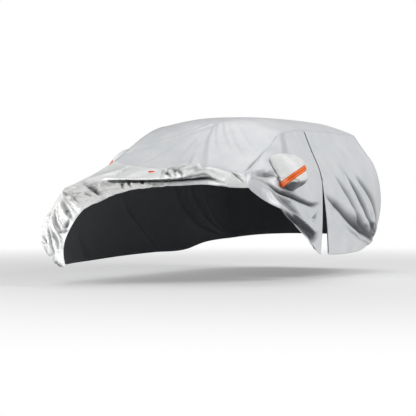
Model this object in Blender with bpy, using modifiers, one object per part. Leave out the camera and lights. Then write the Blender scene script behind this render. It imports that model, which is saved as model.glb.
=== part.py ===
"""A fitted car cover, hung as it lies over a compact hatchback whose bonnet is half uncovered.

The cover is sewn from six panels of 2 mm silver cloth. Its front is folded back on itself
along the foot of the windscreen and falls over the right front corner; the left front corner
is pulled back towards a zipped door slit. Each door mirror has a sewn pocket with a
reflective strip. The car is left out, so the cover is one hollow shell, open underneath.

Lengths are metres. The tables use the car's own axes: x to the car's left, y to its tail,
z up from the ground, with y = 0 midway between the axles. Everything hangs from an empty
that puts the origin on the cloth's underside, at the point of the roof that carries it.
"""

import bmesh
import bpy
import numpy as np
from mathutils import Vector
from mathutils.bvhtree import BVHTree

CLOTH = 0.002
# How far a panel stops short of a seam line: plain, in the valley under the screen, and where
# the hood panel ends and the left side begins.
TRIM = 0.0016
VALLEY_TRIM = 0.004
HOOD_END_TRIM = 0.006
FREE_EDGE_TRIM = 0.008
POCKET_GAP = 0.005
STRIP_THICK = 0.0012
STRIP_GAP = 0.005
ROOF_REST = (0.0, 0.80, 1.548)

# The seams and the middle of the top panel, from the windscreen's foot to the roof's rear
# corners. Roundness is the power of the cross-section: 2 is a parabola, more is flatter.
STATIONS = (
    # place            left seam                middle y, z       right seam              roundness
    ("screen foot",   (0.615, -1.108, 0.975), (-1.075, 1.015), (-0.760, -0.980, 1.100), 2.0),
    ("screen low",    (0.600, -0.860, 1.070), (-0.880, 1.160), (-0.720, -0.820, 1.190), 2.0),
    ("screen middle", (0.600, -0.550, 1.210), (-0.640, 1.325), (-0.670, -0.620, 1.310), 2.2),
    ("screen high",   (0.585, -0.225, 1.355), (-0.420, 1.450), (-0.630, -0.320, 1.420), 2.6),
    ("roof front",    (0.580, 0.100, 1.395), (-0.080, 1.524), (-0.610, 0.020, 1.460), 3.0),
    ("zip top",       (0.580, 0.420, 1.415), (0.350, 1.541), (-0.590, 0.400, 1.440), 3.2),
    ("front doors",   (0.580, 0.800, 1.418), (0.800, 1.548), (-0.580, 0.800, 1.425), 3.2),
    ("rear doors",    (0.580, 1.250, 1.418), (1.250, 1.549), (-0.580, 1.250, 1.418), 3.2),
    ("rear wheels",   (0.575, 1.650, 1.416), (1.650, 1.541), (-0.575, 1.650, 1.416), 3.2),
    ("roof corner",   (0.560, 1.980, 1.412), (2.060, 1.500), (-0.560, 1.980, 1.412), 3.2),
)

# The rear corner seam, mirrored on the right, and the middle of the tail beside each point.
TAIL = (
    # height        left corner seam          middle y, z
    ("roof corner", (0.560, 1.980, 1.412), (2.060, 1.500)),
    ("window",      (0.665, 2.000, 1.255), (2.130, 1.330)),
    ("shoulder",    (0.775, 1.980, 1.110), (2.180, 1.130)),
    ("flank",       (0.875, 1.930, 0.700), (2.230, 0.750)),
    ("hem",         (0.805, 1.860, 0.320), (2.170, 0.370)),
)

# The left side ahead of the zip. Its first row runs down the free edge that the folds pull back.
LEFT_FRONT = (
    # place       window                   shoulder
    #  flank                   hem
    ("free edge", (0.650, -1.128, 0.850), (0.720, -1.110, 0.785),
     (0.830, -1.070, 0.710), (0.920, -1.020, 0.665)),
    ("wing",      (0.690, -0.930, 1.020), (0.790, -0.950, 0.930),
     (0.880, -0.900, 0.750), (0.925, -0.790, 0.530)),
    ("pillar",    (0.655, -0.620, 1.130), (0.790, -0.680, 0.980),
     (0.900, -0.620, 0.720), (0.930, -0.470, 0.390)),
    ("mirror",    (0.672, -0.400, 1.200), (0.800, -0.430, 1.000),
     (0.920, -0.380, 0.720), (0.930, -0.250, 0.300)),
    ("door",      (0.678, 0.040, 1.215), (0.805, -0.020, 1.010),
     (0.930, -0.120, 0.710), (0.930, -0.130, 0.255)),
    ("zip",       (0.680, 0.362, 1.222), (0.800, 0.277, 1.017),
     (0.915, 0.045, 0.680), (0.925, -0.036, 0.228)),
)

# The left side behind the zip.
LEFT_REAR = (
    # place     window                 shoulder
    #  flank                  hem
    ("zip",     (0.680, 0.366, 1.222), (0.800, 0.281, 1.017),
     (0.915, 0.125, 0.680), (0.920, 0.200, 0.220)),
    ("door",    (0.685, 0.800, 1.220), (0.815, 0.780, 1.020),
     (0.920, 0.720, 0.700), (0.925, 0.600, 0.213)),
    ("sill",    (0.690, 1.250, 1.220), (0.825, 1.230, 1.020),
     (0.920, 1.200, 0.700), (0.930, 1.120, 0.235)),
    ("wheel",   (0.680, 1.660, 1.240), (0.810, 1.640, 1.030),
     (0.905, 1.620, 0.700), (0.900, 1.520, 0.295)),
    ("corner",  TAIL[1][1], TAIL[2][1], TAIL[3][1], TAIL[4][1]),
)

# The front panel, a row for each path from the screen's foot to the free edge on the bonnet:
# over a ridge, down to a lip, back under it by the depth of the fold, along the bed, to the edge.
HOOD = (
    # path           foot x ridge                    lip
    #  depth  bed                     edge
    ("left end",     0.608, (0.608, -1.125, 0.960), (0.608, -1.130, 0.925),
     0.000, (0.607, -1.132, 0.890), (0.606, -1.130, 0.858)),
    ("left",         0.550, (0.575, -1.150, 0.950), (0.575, -1.180, 0.915),
     0.010, (0.575, -1.180, 0.885), (0.580, -1.165, 0.852)),
    ("left wiper",   0.450, (0.452, -1.190, 0.992), (0.470, -1.270, 0.935),
     0.050, (0.480, -1.245, 0.900), (0.500, -1.240, 0.858)),
    ("left middle",  0.300, (0.300, -1.200, 1.042), (0.350, -1.360, 0.958),
     0.120, (0.330, -1.280, 0.915), (0.320, -1.290, 0.880)),
    ("middle",       0.120, (0.116, -1.200, 1.056), (0.170, -1.390, 0.945),
     0.160, (0.140, -1.310, 0.912), (0.120, -1.370, 0.872)),
    ("right middle", -0.150, (-0.156, -1.200, 1.016), (-0.080, -1.400, 0.928),
     0.160, (-0.130, -1.340, 0.897), (-0.160, -1.450, 0.850)),
    ("right wiper",  -0.470, (-0.490, -1.200, 1.000), (-0.460, -1.380, 0.925),
     0.100, (-0.430, -1.540, 0.865), (-0.360, -1.780, 0.790)),
    ("right",        -0.660, (-0.690, -1.180, 0.990), (-0.710, -1.370, 0.925),
     0.030, (-0.660, -1.720, 0.850), (-0.440, -1.950, 0.722)),
    ("right end",    -0.760, (-0.820, -1.150, 1.010), (-0.840, -1.420, 0.930),
     0.000, (-0.840, -1.800, 0.835), (-0.500, -2.060, 0.665)),
)
FOLD_DROP = 0.022
FULL_FOLD = 0.1
ONWARD_SHARE = 0.4

# The right side. At counts the points of its top line: the last hood path, then the seam.
RIGHT = (
    # place         at    window                   shoulder
    #  flank                    hem
    ("free edge",   0.0, (-0.550, -2.085, 0.600), (-0.610, -2.100, 0.500),
     (-0.665, -2.110, 0.360), (-0.660, -2.090, 0.170)),
    ("corner",      1.0, (-0.860, -1.860, 0.750), (-0.880, -1.910, 0.660),
     (-0.950, -1.990, 0.420), (-0.850, -1.860, 0.165)),
    ("front wheel", 2.5, (-0.880, -1.480, 0.800), (-0.920, -1.520, 0.670),
     (-0.965, -1.540, 0.420), (-0.930, -1.520, 0.170)),
    ("wing",        4.0, (-0.870, -1.150, 0.900), (-0.910, -1.150, 0.780),
     (-0.955, -1.150, 0.480), (-0.940, -1.150, 0.180)),
    ("mirror",      7.0, (-0.770, -0.600, 1.170), (-0.860, -0.580, 1.000),
     (-0.940, -0.560, 0.620), (-0.940, -0.560, 0.200)),
    ("front door",  9.5, (-0.700, 0.200, 1.250), (-0.820, 0.200, 1.030),
     (-0.930, 0.200, 0.680), (-0.930, 0.200, 0.215)),
    ("rear door",  11.5, (-0.690, 1.020, 1.220), (-0.825, 1.020, 1.020),
     (-0.920, 1.000, 0.700), (-0.930, 0.950, 0.220)),
    ("rear wheel", 13.0, (-0.680, 1.660, 1.240), (-0.810, 1.640, 1.030),
     (-0.905, 1.620, 0.700), (-0.900, 1.520, 0.295)),
    ("rear corner", 14.0, *((-x, y, z) for _, (x, y, z), _ in TAIL[1:])),
)
RIGHT_SEAM_FIRST = 5

# Folds in the cloth. Places on the two sides are y, z; on the top and the hood panel they are
# x and the distance along the cloth from the screen's foot. Each place carries the fold's
# height there. The trough is a share of that height, on the right of the way the path runs.
FOLDS = (
    # panel, fold, width, trough
    #  (place, height) along its path
    ("left_front", "under mirror", 0.042, 1.0,
     ((-0.98, 0.91, 0.003), (-0.80, 0.868, 0.034), (-0.50, 0.82, 0.038), (-0.10, 0.76, 0.002))),
    ("left_front", "wing", 0.036, 0.9,
     ((-0.99, 0.86, 0.004), (-0.88, 0.76, 0.028), (-0.62, 0.69, 0.030), (-0.26, 0.62, 0.002))),
    ("left_front", "over arch", 0.036, 0.9,
     ((-0.98, 0.73, 0.006), (-0.75, 0.635, 0.026), (-0.45, 0.535, 0.030), (-0.16, 0.46, 0.003))),
    ("left_front", "free edge", 0.030, 0.5,
     ((-0.80, 0.58, 0.004), (-0.55, 0.47, 0.018), (-0.30, 0.36, 0.020), (-0.12, 0.29, 0.003))),
    ("left_rear", "long pull", 0.052, 1.0,
     ((0.34, 0.78, 0.004), (0.57, 0.67, 0.028), (0.94, 0.53, 0.036), (1.40, 0.41, 0.030),
      (1.70, 0.35, 0.004))),
    ("left_rear", "second pull", 0.042, 0.8,
     ((0.62, 1.00, 0.004), (0.84, 0.82, 0.018), (1.10, 0.63, 0.026), (1.45, 0.47, 0.022),
      (1.72, 0.37, 0.004))),
    ("left_rear", "third pull", 0.042, 0.9,
     ((0.96, 1.07, 0.004), (1.18, 0.93, 0.022), (1.38, 0.71, 0.028), (1.58, 0.52, 0.022),
      (1.74, 0.37, 0.004))),
    ("left_rear", "rear pull", 0.038, 0.9,
     ((1.30, 1.00, 0.004), (1.50, 0.85, 0.020), (1.62, 0.66, 0.024), (1.74, 0.46, 0.018),
      (1.79, 0.36, 0.003))),
    ("top", "right diagonal", 0.075, 0.7,
     ((-0.10, 0.62, 0.002), (-0.36, 0.38, 0.014), (-0.62, 0.16, 0.016))),
    ("top", "middle crease", 0.060, 0.7,
     ((0.00, 0.85, 0.001), (0.09, 0.42, 0.010), (0.18, 0.10, 0.012))),
    ("top", "left pull", 0.070, 0.6,
     ((0.20, 0.95, 0.001), (0.38, 0.50, 0.009), (0.52, 0.16, 0.010))),
    ("hood", "left crumple", 0.050, 0.7,
     ((0.36, 0.02, 0.002), (0.38, 0.14, 0.014), (0.34, 0.30, 0.018))),
    ("hood", "wiper crumple", 0.045, 0.8,
     ((0.20, 0.05, 0.006), (0.24, 0.18, 0.020), (0.22, 0.34, 0.012))),
    ("hood", "middle crumple", 0.050, 0.8,
     ((0.02, 0.04, 0.006), (-0.02, 0.18, 0.022), (0.04, 0.34, 0.016))),
    ("hood", "diagonal crumple", 0.045, 0.8,
     ((-0.14, 0.06, 0.004), (-0.26, 0.20, 0.018), (-0.24, 0.34, 0.014))),
    ("hood", "right crumple", 0.055, 0.8,
     ((-0.38, 0.02, 0.004), (-0.46, 0.16, 0.016), (-0.56, 0.32, 0.014))),
    ("hood", "right bed", 0.060, 0.8,
     ((-0.76, 0.45, 0.004), (-0.66, 0.62, 0.022), (-0.50, 0.82, 0.012))),
    ("hood", "corner bed", 0.055, 0.8,
     ((-0.78, 0.66, 0.006), (-0.70, 0.80, 0.020), (-0.52, 0.98, 0.010))),
    ("right", "bumper drop", 0.050, 0.8,
     ((-1.98, 0.72, 0.004), (-2.02, 0.48, 0.022), (-2.00, 0.20, 0.014))),
    ("right", "wing drop", 0.070, 0.8,
     ((-1.62, 0.86, 0.004), (-1.72, 0.52, 0.022), (-1.74, 0.20, 0.020))),
    ("right", "wheel drop", 0.080, 0.8,
     ((-1.20, 0.94, 0.004), (-1.26, 0.55, 0.022), (-1.30, 0.20, 0.020))),
    ("right", "rear pull", 0.090, 0.8,
     ((1.00, 0.95, 0.004), (1.35, 0.62, 0.022), (1.70, 0.38, 0.006))),
)

# The mirror pockets. Centre is y, z on the side panel; lean and rise carry the outer face
# forwards and up.
POCKETS = (
    # side     centre           half length  half height  slant  reach  lean    rise
    ("left",  (-0.605, 0.990), 0.205,       0.165,       0.060, 0.180, -0.070, 0.036),
    ("right", (-0.480, 1.060), 0.190,       0.140,       0.040, 0.140, -0.030, 0.020),
)
POCKET_SQUARENESS = 3.6
POCKET_FULLNESS = 0.48
POCKET_ROUNDING = 0.4
# The hole behind a pocket, as a share of the pocket, and the cutter's middle and length in x.
POCKET_HOLE_SHARE = 0.78
POCKET_HOLE_AT = 0.85
POCKET_HOLE_LONG = 0.5
# Where rays at the panels start, outside everything, and about where the panels are.
RAY_START = 2.0
PANEL_ABOUT = 0.8
# Where the reflective strip lies on a pocket: shares of its half length (rearwards) and height.
MIRROR_STRIP_PATH = ((0.63, 0.24), (0.12, 0.01), (-0.54, -0.31), (-0.90, -0.60), (-0.98, -0.95))
MIRROR_STRIP_WIDTH = 0.045
# The end of reflective strip on the folded band: x and z of its middle, its size, and the way
# it faces.
HOOD_STRIP_PLACE = (-0.25, 0.995)
HOOD_STRIP_SIZE = (0.060, 0.016)
HOOD_STRIP_FACING = (0.0, -1.0, 0.6)
HOOD_STRIP_LIFT = 0.012

# The zip. Rows count the points of the side's columns: 0 is the seam, 2 the shoulder, 4 the hem.
ZIP_CHAIN_ROWS = (0.1, 2.25)
ZIP_TAPE_ROWS = (2.55, 3.97)
ZIP_CHAIN_WIDTH = 0.012
ZIP_CHAIN_THICK = 0.002
ZIP_TAPE_WIDTH = 0.022
ZIP_TAPE_THICK = 0.001
ZIP_TAPE_SHOWING = 0.009
ZIP_TAPE_DROP = 0.004
ZIP_LIFT = 0.004
ZIP_SLIDER = (0.006, 0.012, 0.030)
ZIP_SLIDER_GAP = 0.004
ZIP_SLIDER_ROUNDING = 0.0015

SILVER = (0.62, 0.63, 0.65)
BRIGHT_SILVER = (0.78, 0.78, 0.80)
ORANGE = (0.95, 0.22, 0.02)
ZIP_DARK = (0.05, 0.05, 0.055)
TAPE_GREY = (0.45, 0.46, 0.48)
FINE_STEPS = 40


def curve(points, at):
    """Smooth curves through the rows of points, read at row numbers that may fall between rows."""
    points = np.asarray(points, float)
    last = len(points) - 1
    steps = np.diff(points, axis=0)
    spans = np.linalg.norm(steps, axis=-1, keepdims=True) + 1e-9
    slopes = steps / spans
    inner = (slopes[:-1] * spans[1:] + slopes[1:] * spans[:-1]) / (spans[:-1] + spans[1:])
    tangents = np.concatenate([2 * slopes[:1] - inner[:1], inner, 2 * slopes[-1:] - inner[-1:]])
    at = np.clip(np.asarray(at, float), 0, last)
    row = np.minimum(at.astype(int), last - 1)
    u = (at - row).reshape((-1,) + (1,) * (points.ndim - 1))
    span = spans[row]
    return (
        (2 * u**3 - 3 * u**2 + 1) * points[row]
        + (u**3 - 2 * u**2 + u) * span * tangents[row]
        + (3 * u**2 - 2 * u**3) * points[row + 1]
        + (u**3 - u**2) * span * tangents[row + 1]
    )


def even_steps(points_at, first, last, cells, trims=(TRIM, TRIM)):
    """Row numbers that cut the curves points_at into cells of like length, a trim in from each end."""
    fine = np.linspace(first, last, FINE_STEPS * (int(last - first) + 1))
    lengths = np.linalg.norm(np.diff(points_at(fine), axis=0), axis=-1)
    while lengths.ndim > 1:
        lengths = lengths.mean(axis=-1)
    run = np.concatenate([[0], np.cumsum(lengths)])
    return np.interp(np.linspace(trims[0], run[-1] - trims[1], cells + 1), run, fine)


def stepped(points_at, parts, trims=(TRIM, TRIM)):
    """Row numbers for several stretches in turn, each (first, last, cells)."""
    steps = []
    for number, (first, last, cells) in enumerate(parts):
        start = trims[0] if number == 0 else 0
        end = trims[1] if number == len(parts) - 1 else 0
        steps.append(even_steps(points_at, first, last, cells, (start, end))[number > 0 :])
    return np.concatenate(steps)


def column(table, index):
    """One column of a table as a list."""
    return [row[index] for row in table]


def crossed(left, middle, right, power, across):
    """A point of each cross-section: a power curve from the middle out to a seam.

    Across is 1 at the left seam, 0 at the middle and -1 at the right seam.
    """
    seam = left if across >= 0 else right
    share = abs(across)
    shares = np.concatenate(
        [np.full_like(power, share), share**power, share**power], axis=-1
    )
    return middle + (seam - middle) * shares


def left_seam(at):
    """Points of the seam between the top panel and the left side, at these stations."""
    return curve(column(STATIONS, 1), at)


def seam_behind_zip(at):
    """The same seam, with its stations counted from the zip's top."""
    return left_seam(np.asarray(at) + len(LEFT_FRONT) - 1)


def right_top():
    """The right side's top line: the last hood path from its free edge, then the roof seam."""
    return hood_path(HOOD[-1])[::-1] + column(STATIONS, 3)[1:]


def right_seam(at):
    """Points of the seam between the top panel and the right side, at these stations."""
    return curve(right_top(), np.asarray(at, float) + RIGHT_SEAM_FIRST)


def roof_line(at, across):
    """Points of the top panel at these stations, this far across it."""
    at = np.atleast_1d(at).astype(float)
    middle = curve([(0.0, *point) for point in column(STATIONS, 2)], at)
    power = np.interp(at, range(len(STATIONS)), column(STATIONS, 4))[:, None]
    return crossed(left_seam(at), middle, right_seam(at), power, across)


def tail_line(at, across):
    """Points of the rear panel at these heights, this far across it."""
    left = curve(column(TAIL, 1), at)
    middle = curve([(0.0, *point) for point in column(TAIL, 2)], at)
    power = np.full((len(left), 1), STATIONS[-1][4])
    return crossed(left, middle, left * (-1, 1, 1), power, across)


def screen_point(station, x):
    """A point of the windscreen's foot, or of the station above it, as far across as the foot's x."""
    _, left, _, right, _ = STATIONS[0]
    return tuple(roof_stations(station, x / (left[0] if x >= 0 else -right[0])))


def roof_stations(station, across):
    """A point on the cross-section of one station of the top panel."""
    _, left, middle, right, power = STATIONS[station]
    return crossed(np.array(left), np.array([0, *middle]), np.array(right), np.array([power]), across)


def hood_path(row):
    """The points that one hood path runs through, from the screen's foot to the free edge."""
    _, foot_x, ridge, lip, depth, bed, edge = row
    folded = min(depth / FULL_FOLD, 1)
    under = np.add(lip, (0, depth, -FOLD_DROP))
    onward = np.add(lip, ONWARD_SHARE * np.subtract(bed, lip))
    tuck = folded * under + (1 - folded) * onward
    return [screen_point(0, foot_x), ridge, lip, tuple(tuck), bed, edge]


def hood_lines(at):
    """The hood panel's lines across the bonnet, led by one up the windscreen that sets its slope."""
    paths = [[screen_point(1, row[1]), *hood_path(row)] for row in HOOD]
    return np.stack([curve(points, at) for points in zip(*paths)], axis=1)


def side_lines(seam_at, table):
    """The seam and the four lines of a side's table, as one function of the station."""
    def lines(at):
        return np.stack([seam_at(at)] + [curve(column(table, i), at) for i in range(1, 5)], axis=1)

    return lines


def right_lines(at):
    """The right side's five lines at these points of its top line."""
    row = np.interp(at, column(RIGHT, 1), range(len(RIGHT)))
    return np.stack([curve(right_top(), at)] + [curve(column(RIGHT, i), row) for i in range(2, 6)], 1)


def loft(lines, along, down, along_trims=(TRIM, TRIM), down_trims=(TRIM, TRIM)):
    """A grid of points on smooth columns through lines, in stretches of (first, last, cells)."""
    columns = np.swapaxes(lines(stepped(lines, along, along_trims)), 0, 1)
    return curve(columns, stepped(lambda at: curve(columns, at), down, down_trims))


def normals_of(points):
    """The unit normal at each point of a grid."""
    normals = np.cross(np.gradient(points, axis=1), np.gradient(points, axis=0))
    return normals / np.linalg.norm(normals, axis=-1, keepdims=True)


def facing(points, outward):
    """The grid turned over, if need be, so that its normals lie along outward."""
    return points if (normals_of(points) @ np.array(outward)).sum() > 0 else points[:, ::-1]


def lift_of_fold(places, width, trough, path):
    """How far one fold lifts each place: a ridge along its path, and a trough beside it."""
    line = curve(path, np.linspace(0, len(path) - 1, FINE_STEPS))
    way = np.gradient(line[:, :2], axis=0)
    way /= np.linalg.norm(way, axis=1, keepdims=True)
    offsets = places[..., None, :] - line[:, :2]
    nearest = np.linalg.norm(offsets, axis=-1).argmin(axis=-1)
    offset = np.take_along_axis(offsets, nearest[..., None, None], axis=-2)[..., 0, :]
    along = (offset * way[nearest]).sum(axis=-1)
    right = offset[..., 0] * way[nearest][..., 1] - offset[..., 1] * way[nearest][..., 0]
    ridge = np.exp(-(right**2 + along**2) / width**2)
    valley = np.exp(-((right - 1.6 * width) ** 2 + along**2) / width**2)
    return line[nearest, 2] * (ridge - trough * valley)


def folded(points, panel, places):
    """The grid with all the folds of its panel."""
    lift = sum(lift_of_fold(places, *row[2:]) for row in FOLDS if row[0] == panel)
    return points + normals_of(points) * lift[..., None]


def run_from_foot(points):
    """x, and the distance along the cloth from its first row, at each point of a grid."""
    steps = np.linalg.norm(np.diff(points, axis=0), axis=-1)
    run = np.concatenate([np.zeros((1, points.shape[1])), np.cumsum(steps, axis=0)])
    return np.stack([points[..., 0], run], axis=-1)


def top_grid():
    """The top panel, with finer cells down the windscreen than along the roof."""
    across = np.linspace(1, -1, 13)

    def lines(at):
        return np.stack([roof_line(at, share) for share in across], axis=1)

    last = len(STATIONS) - 1
    points = loft(lines, [(0, 4, 22), (4, last, 12)], [(0, len(across) - 1, 14)], (VALLEY_TRIM, TRIM))
    points = facing(np.swapaxes(points, 0, 1), (0, 0, 1))
    return folded(points, "top", run_from_foot(points))


def rear_grid():
    """The panel down the tail."""
    across = np.linspace(1, -1, 11)

    def lines(at):
        return np.stack([tail_line(at, share) for share in across], axis=1)

    return facing(loft(lines, [(0, len(TAIL) - 1, 11)], [(0, len(across) - 1, 10)]), (0, 1, 0))


def hood_grid():
    """The front panel: ridge and lip, the tuck under them, and the bed on the bonnet."""
    paths = [(0, len(HOOD) - 1, 32)]
    rows = [(1, 3, 8), (3, 4, 4), (4, 6, 8)]
    points = loft(hood_lines, paths, rows, (TRIM, HOOD_END_TRIM), (VALLEY_TRIM, 0))
    points = facing(points, (0, 0, 1))
    return folded(points, "hood", run_from_foot(points))


def left_front_grid():
    """The left side ahead of the zip, with its folds."""
    lines = side_lines(left_seam, LEFT_FRONT)
    stations = [(0, len(LEFT_FRONT) - 1, 24)]
    points = loft(lines, stations, [(0, 1, 4), (1, 4, 21)], (FREE_EDGE_TRIM, TRIM), (TRIM, 0))
    points = facing(points, (1, 0, 0))
    return folded(points, "left_front", points[..., 1:])


def left_rear_grid():
    """The left side behind the zip, with its long pulls."""
    lines = side_lines(seam_behind_zip, LEFT_REAR)
    stations = [(0, len(LEFT_REAR) - 1, 34)]
    points = loft(lines, stations, [(0, 1.5, 5), (1.5, 4, 20)], (TRIM, TRIM), (TRIM, 0))
    points = facing(points, (1, 0, 0))
    return folded(points, "left_rear", points[..., 1:])


def right_grid():
    """The whole right side, finer round its front corner."""
    points = loft(right_lines, [(0, 5, 16), (5, 14, 15)], [(0, 4, 11)], (0, TRIM), (VALLEY_TRIM, 0))
    points = facing(points, (-1, 0, 0))
    return folded(points, "right", points[..., 1:])


def new_material(name, colour, roughness, metallic=0.0):
    """A material with these values on its Principled shader."""
    material = bpy.data.materials.new(name)
    material.use_nodes = True
    shader = material.node_tree.nodes["Principled BSDF"]
    shader.inputs["Base Color"].default_value = (*colour, 1)
    shader.inputs["Roughness"].default_value = roughness
    shader.inputs["Metallic"].default_value = metallic
    return material


def add_cloth(name, points, material, holder, thickness=CLOTH):
    """A sheet through a grid of points on its underside, thickened outwards."""
    rows, columns = points.shape[:2]
    mesh = bpy.data.meshes.new(name)
    grid = bmesh.new()
    bmesh.ops.create_grid(grid, x_segments=columns - 1, y_segments=rows - 1, size=1)
    for vertex, place in zip(grid.verts, points.reshape(-1, 3)):
        vertex.co = place
    grid.to_mesh(mesh)
    grid.free()
    mesh.polygons.foreach_set("use_smooth", [True] * len(mesh.polygons))
    mesh.materials.append(material)
    sheet = bpy.data.objects.new(name, mesh)
    sheet.parent = holder
    bpy.data.collections["car_cover"].objects.link(sheet)
    solidify = sheet.modifiers.new("cloth", "SOLIDIFY")
    solidify.thickness = thickness
    solidify.offset = 1
    return sheet


def panel_tree(*grids):
    """A ray-casting tree of the undersides of some panels."""
    places, faces = [], []
    for points in grids:
        rows, columns = points.shape[:2]
        corner = np.arange(rows * columns).reshape(rows, columns) + len(places)
        quads = np.stack([corner[:-1, :-1], corner[:-1, 1:], corner[1:, 1:], corner[1:, :-1]], -1)
        places += points.reshape(-1, 3).tolist()
        faces += quads.reshape(-1, 4).tolist()
    return BVHTree.FromPolygons(places, faces)


def place_on_panel(tree, outwards, y, z):
    """The point of a side panel seen from outside at y, z, or the nearest on its edge."""
    hit = tree.ray_cast(Vector((RAY_START * outwards, y, z)), Vector((-outwards, 0, 0)))[0]
    return hit or tree.find_nearest(Vector((PANEL_ABOUT * outwards, y, z)))[0]


def pocket_points(pocket, tree, along, up):
    """Points of a mirror pocket at shares of its half length and half height, as grids."""
    side, centre, half_length, half_height, slant, reach, lean, rise = pocket
    outwards = 1 if side == "left" else -1
    y = centre[0] + half_length * along * np.sqrt(1 - POCKET_ROUNDING * up**2) + slant * up
    z = centre[1] + half_height * up * np.sqrt(1 - POCKET_ROUNDING * along**2)
    along_share, up_share = (1 - np.abs(share) ** POCKET_SQUARENESS for share in (along, up))
    bulge = np.clip(along_share * up_share, 0, 1) ** POCKET_FULLNESS
    base = np.array([place_on_panel(tree, outwards, *place) for place in zip(y.ravel(), z.ravel())])
    base = base.reshape(*y.shape, 3)
    base[..., 0] += outwards * (CLOTH + POCKET_GAP + reach * bulge)
    base[..., 1] += lean * bulge
    base[..., 2] += rise * bulge
    return base


def add_pocket(pocket, tree, panel, material, strip_material, holder):
    """A mirror pocket over its panel, the hole behind it, and its reflective strip."""
    side, centre, half_length, half_height, *_ = pocket
    outward = (1, 0, 0) if side == "left" else (-1, 0, 0)
    steps = np.sin(np.linspace(-np.pi / 2, np.pi / 2, 12))
    along, up = np.meshgrid(steps, steps)
    points = facing(pocket_points(pocket, tree, along, up), outward)
    add_cloth(side + "_mirror_pocket", points, material, holder)
    add_mirror_strip(pocket, tree, strip_material, holder)
    cut_hole(panel, side, centre, half_length, half_height, holder)


def add_mirror_strip(pocket, tree, material, holder):
    """The reflective strip that runs slantwise over the front of a pocket."""
    rows = np.linspace(0, len(MIRROR_STRIP_PATH) - 1, 15)
    path = curve([(*place, 0.0) for place in MIRROR_STRIP_PATH], rows)
    step = 0.01
    line, along, up = (
        pocket_points(pocket, tree, path[:, 0] + a, path[:, 1] + b)
        for a, b in ((0, 0), (step, 0), (0, step))
    )
    side = pocket[0]
    normals = np.cross(along - line, up - line) * (1 if side == "left" else -1)
    name = side + "_mirror_strip"
    add_ribbon(name, line, normals, MIRROR_STRIP_WIDTH, CLOTH + STRIP_GAP, material, holder, STRIP_THICK)


def cut_hole(panel, side, centre, half_length, half_height, holder):
    """Cuts the panel through behind its pocket."""
    mesh = bpy.data.meshes.new(side + "_mirror_hole")
    shape = bmesh.new()
    bmesh.ops.create_cone(shape, cap_ends=True, segments=20, radius1=1, radius2=1, depth=1)
    shape.to_mesh(mesh)
    shape.free()
    cutter = bpy.data.objects.new(side + "_mirror_hole", mesh)
    outwards = 1 if side == "left" else -1
    cutter.parent = holder
    cutter.location = (outwards * POCKET_HOLE_AT, *centre)
    cutter.rotation_euler = (0, np.pi / 2, 0)
    cutter.scale = (
        half_height * POCKET_HOLE_SHARE,
        half_length * POCKET_HOLE_SHARE,
        POCKET_HOLE_LONG,
    )
    cutter.hide_render = True
    cutter.display_type = "WIRE"
    bpy.data.collections["cutters"].objects.link(cutter)
    hole = panel.modifiers.new("mirror_hole", "BOOLEAN")
    hole.operation = "DIFFERENCE"
    hole.solver = "EXACT"
    hole.object = cutter


def zip_edges(rows):
    """The edges of the cloth on either side of the zip, at rows down the side."""
    front = side_lines(left_seam, LEFT_FRONT)(np.array([len(LEFT_FRONT) - 1.0]))[0]
    rear = side_lines(seam_behind_zip, LEFT_REAR)(np.array([0.0]))[0]
    return curve(front, rows), curve(rear, rows)


def add_ribbon(name, line, normals, width, lift, material, holder, thickness):
    """A flat band along a line, lifted off it along the normals."""
    normals = normals / np.linalg.norm(normals, axis=1, keepdims=True)
    across = np.cross(np.gradient(line, axis=0), normals)
    across /= np.linalg.norm(across, axis=1, keepdims=True)
    edges = [line + normals * lift + across * width * share for share in (-0.5, 0.5)]
    band = facing(np.stack(edges), normals.mean(axis=0))
    add_cloth(name, band, material, holder, thickness)


def add_zip(chain_material, tape_material, holder):
    """The chain over the closed seam, the slider at its foot, and a tape down each side of the slit."""
    front, rear = zip_edges(np.linspace(*ZIP_CHAIN_ROWS, 16))
    chain = (front + rear) / 2
    outwards = normals_beside_zip(chain)
    chain_size = (ZIP_CHAIN_WIDTH, ZIP_LIFT)
    add_ribbon("zip_chain", chain, outwards, *chain_size, chain_material, holder, ZIP_CHAIN_THICK)
    add_slider(chain[-1] + outwards[-1] * ZIP_LIFT, chain[-1] - chain[-2], chain_material, holder)
    front, rear = zip_edges(np.linspace(*ZIP_TAPE_ROWS, 14))
    reach = np.array([0, ZIP_TAPE_SHOWING - ZIP_TAPE_WIDTH / 2, 0])
    tape_size = (ZIP_TAPE_WIDTH, -ZIP_TAPE_DROP)
    for name, edge in (("zip_front_tape", front + reach), ("zip_rear_tape", rear - reach)):
        normals = normals_beside_zip(edge)
        add_ribbon(name, edge, normals, *tape_size, tape_material, holder, ZIP_TAPE_THICK)


def normals_beside_zip(line):
    """Normals of the left side along a line down it."""
    normals = np.cross(np.gradient(line, axis=0), (0, 1.0, 0))
    normals *= np.sign(normals[:, :1])
    return normals / np.linalg.norm(normals, axis=1, keepdims=True)


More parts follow.
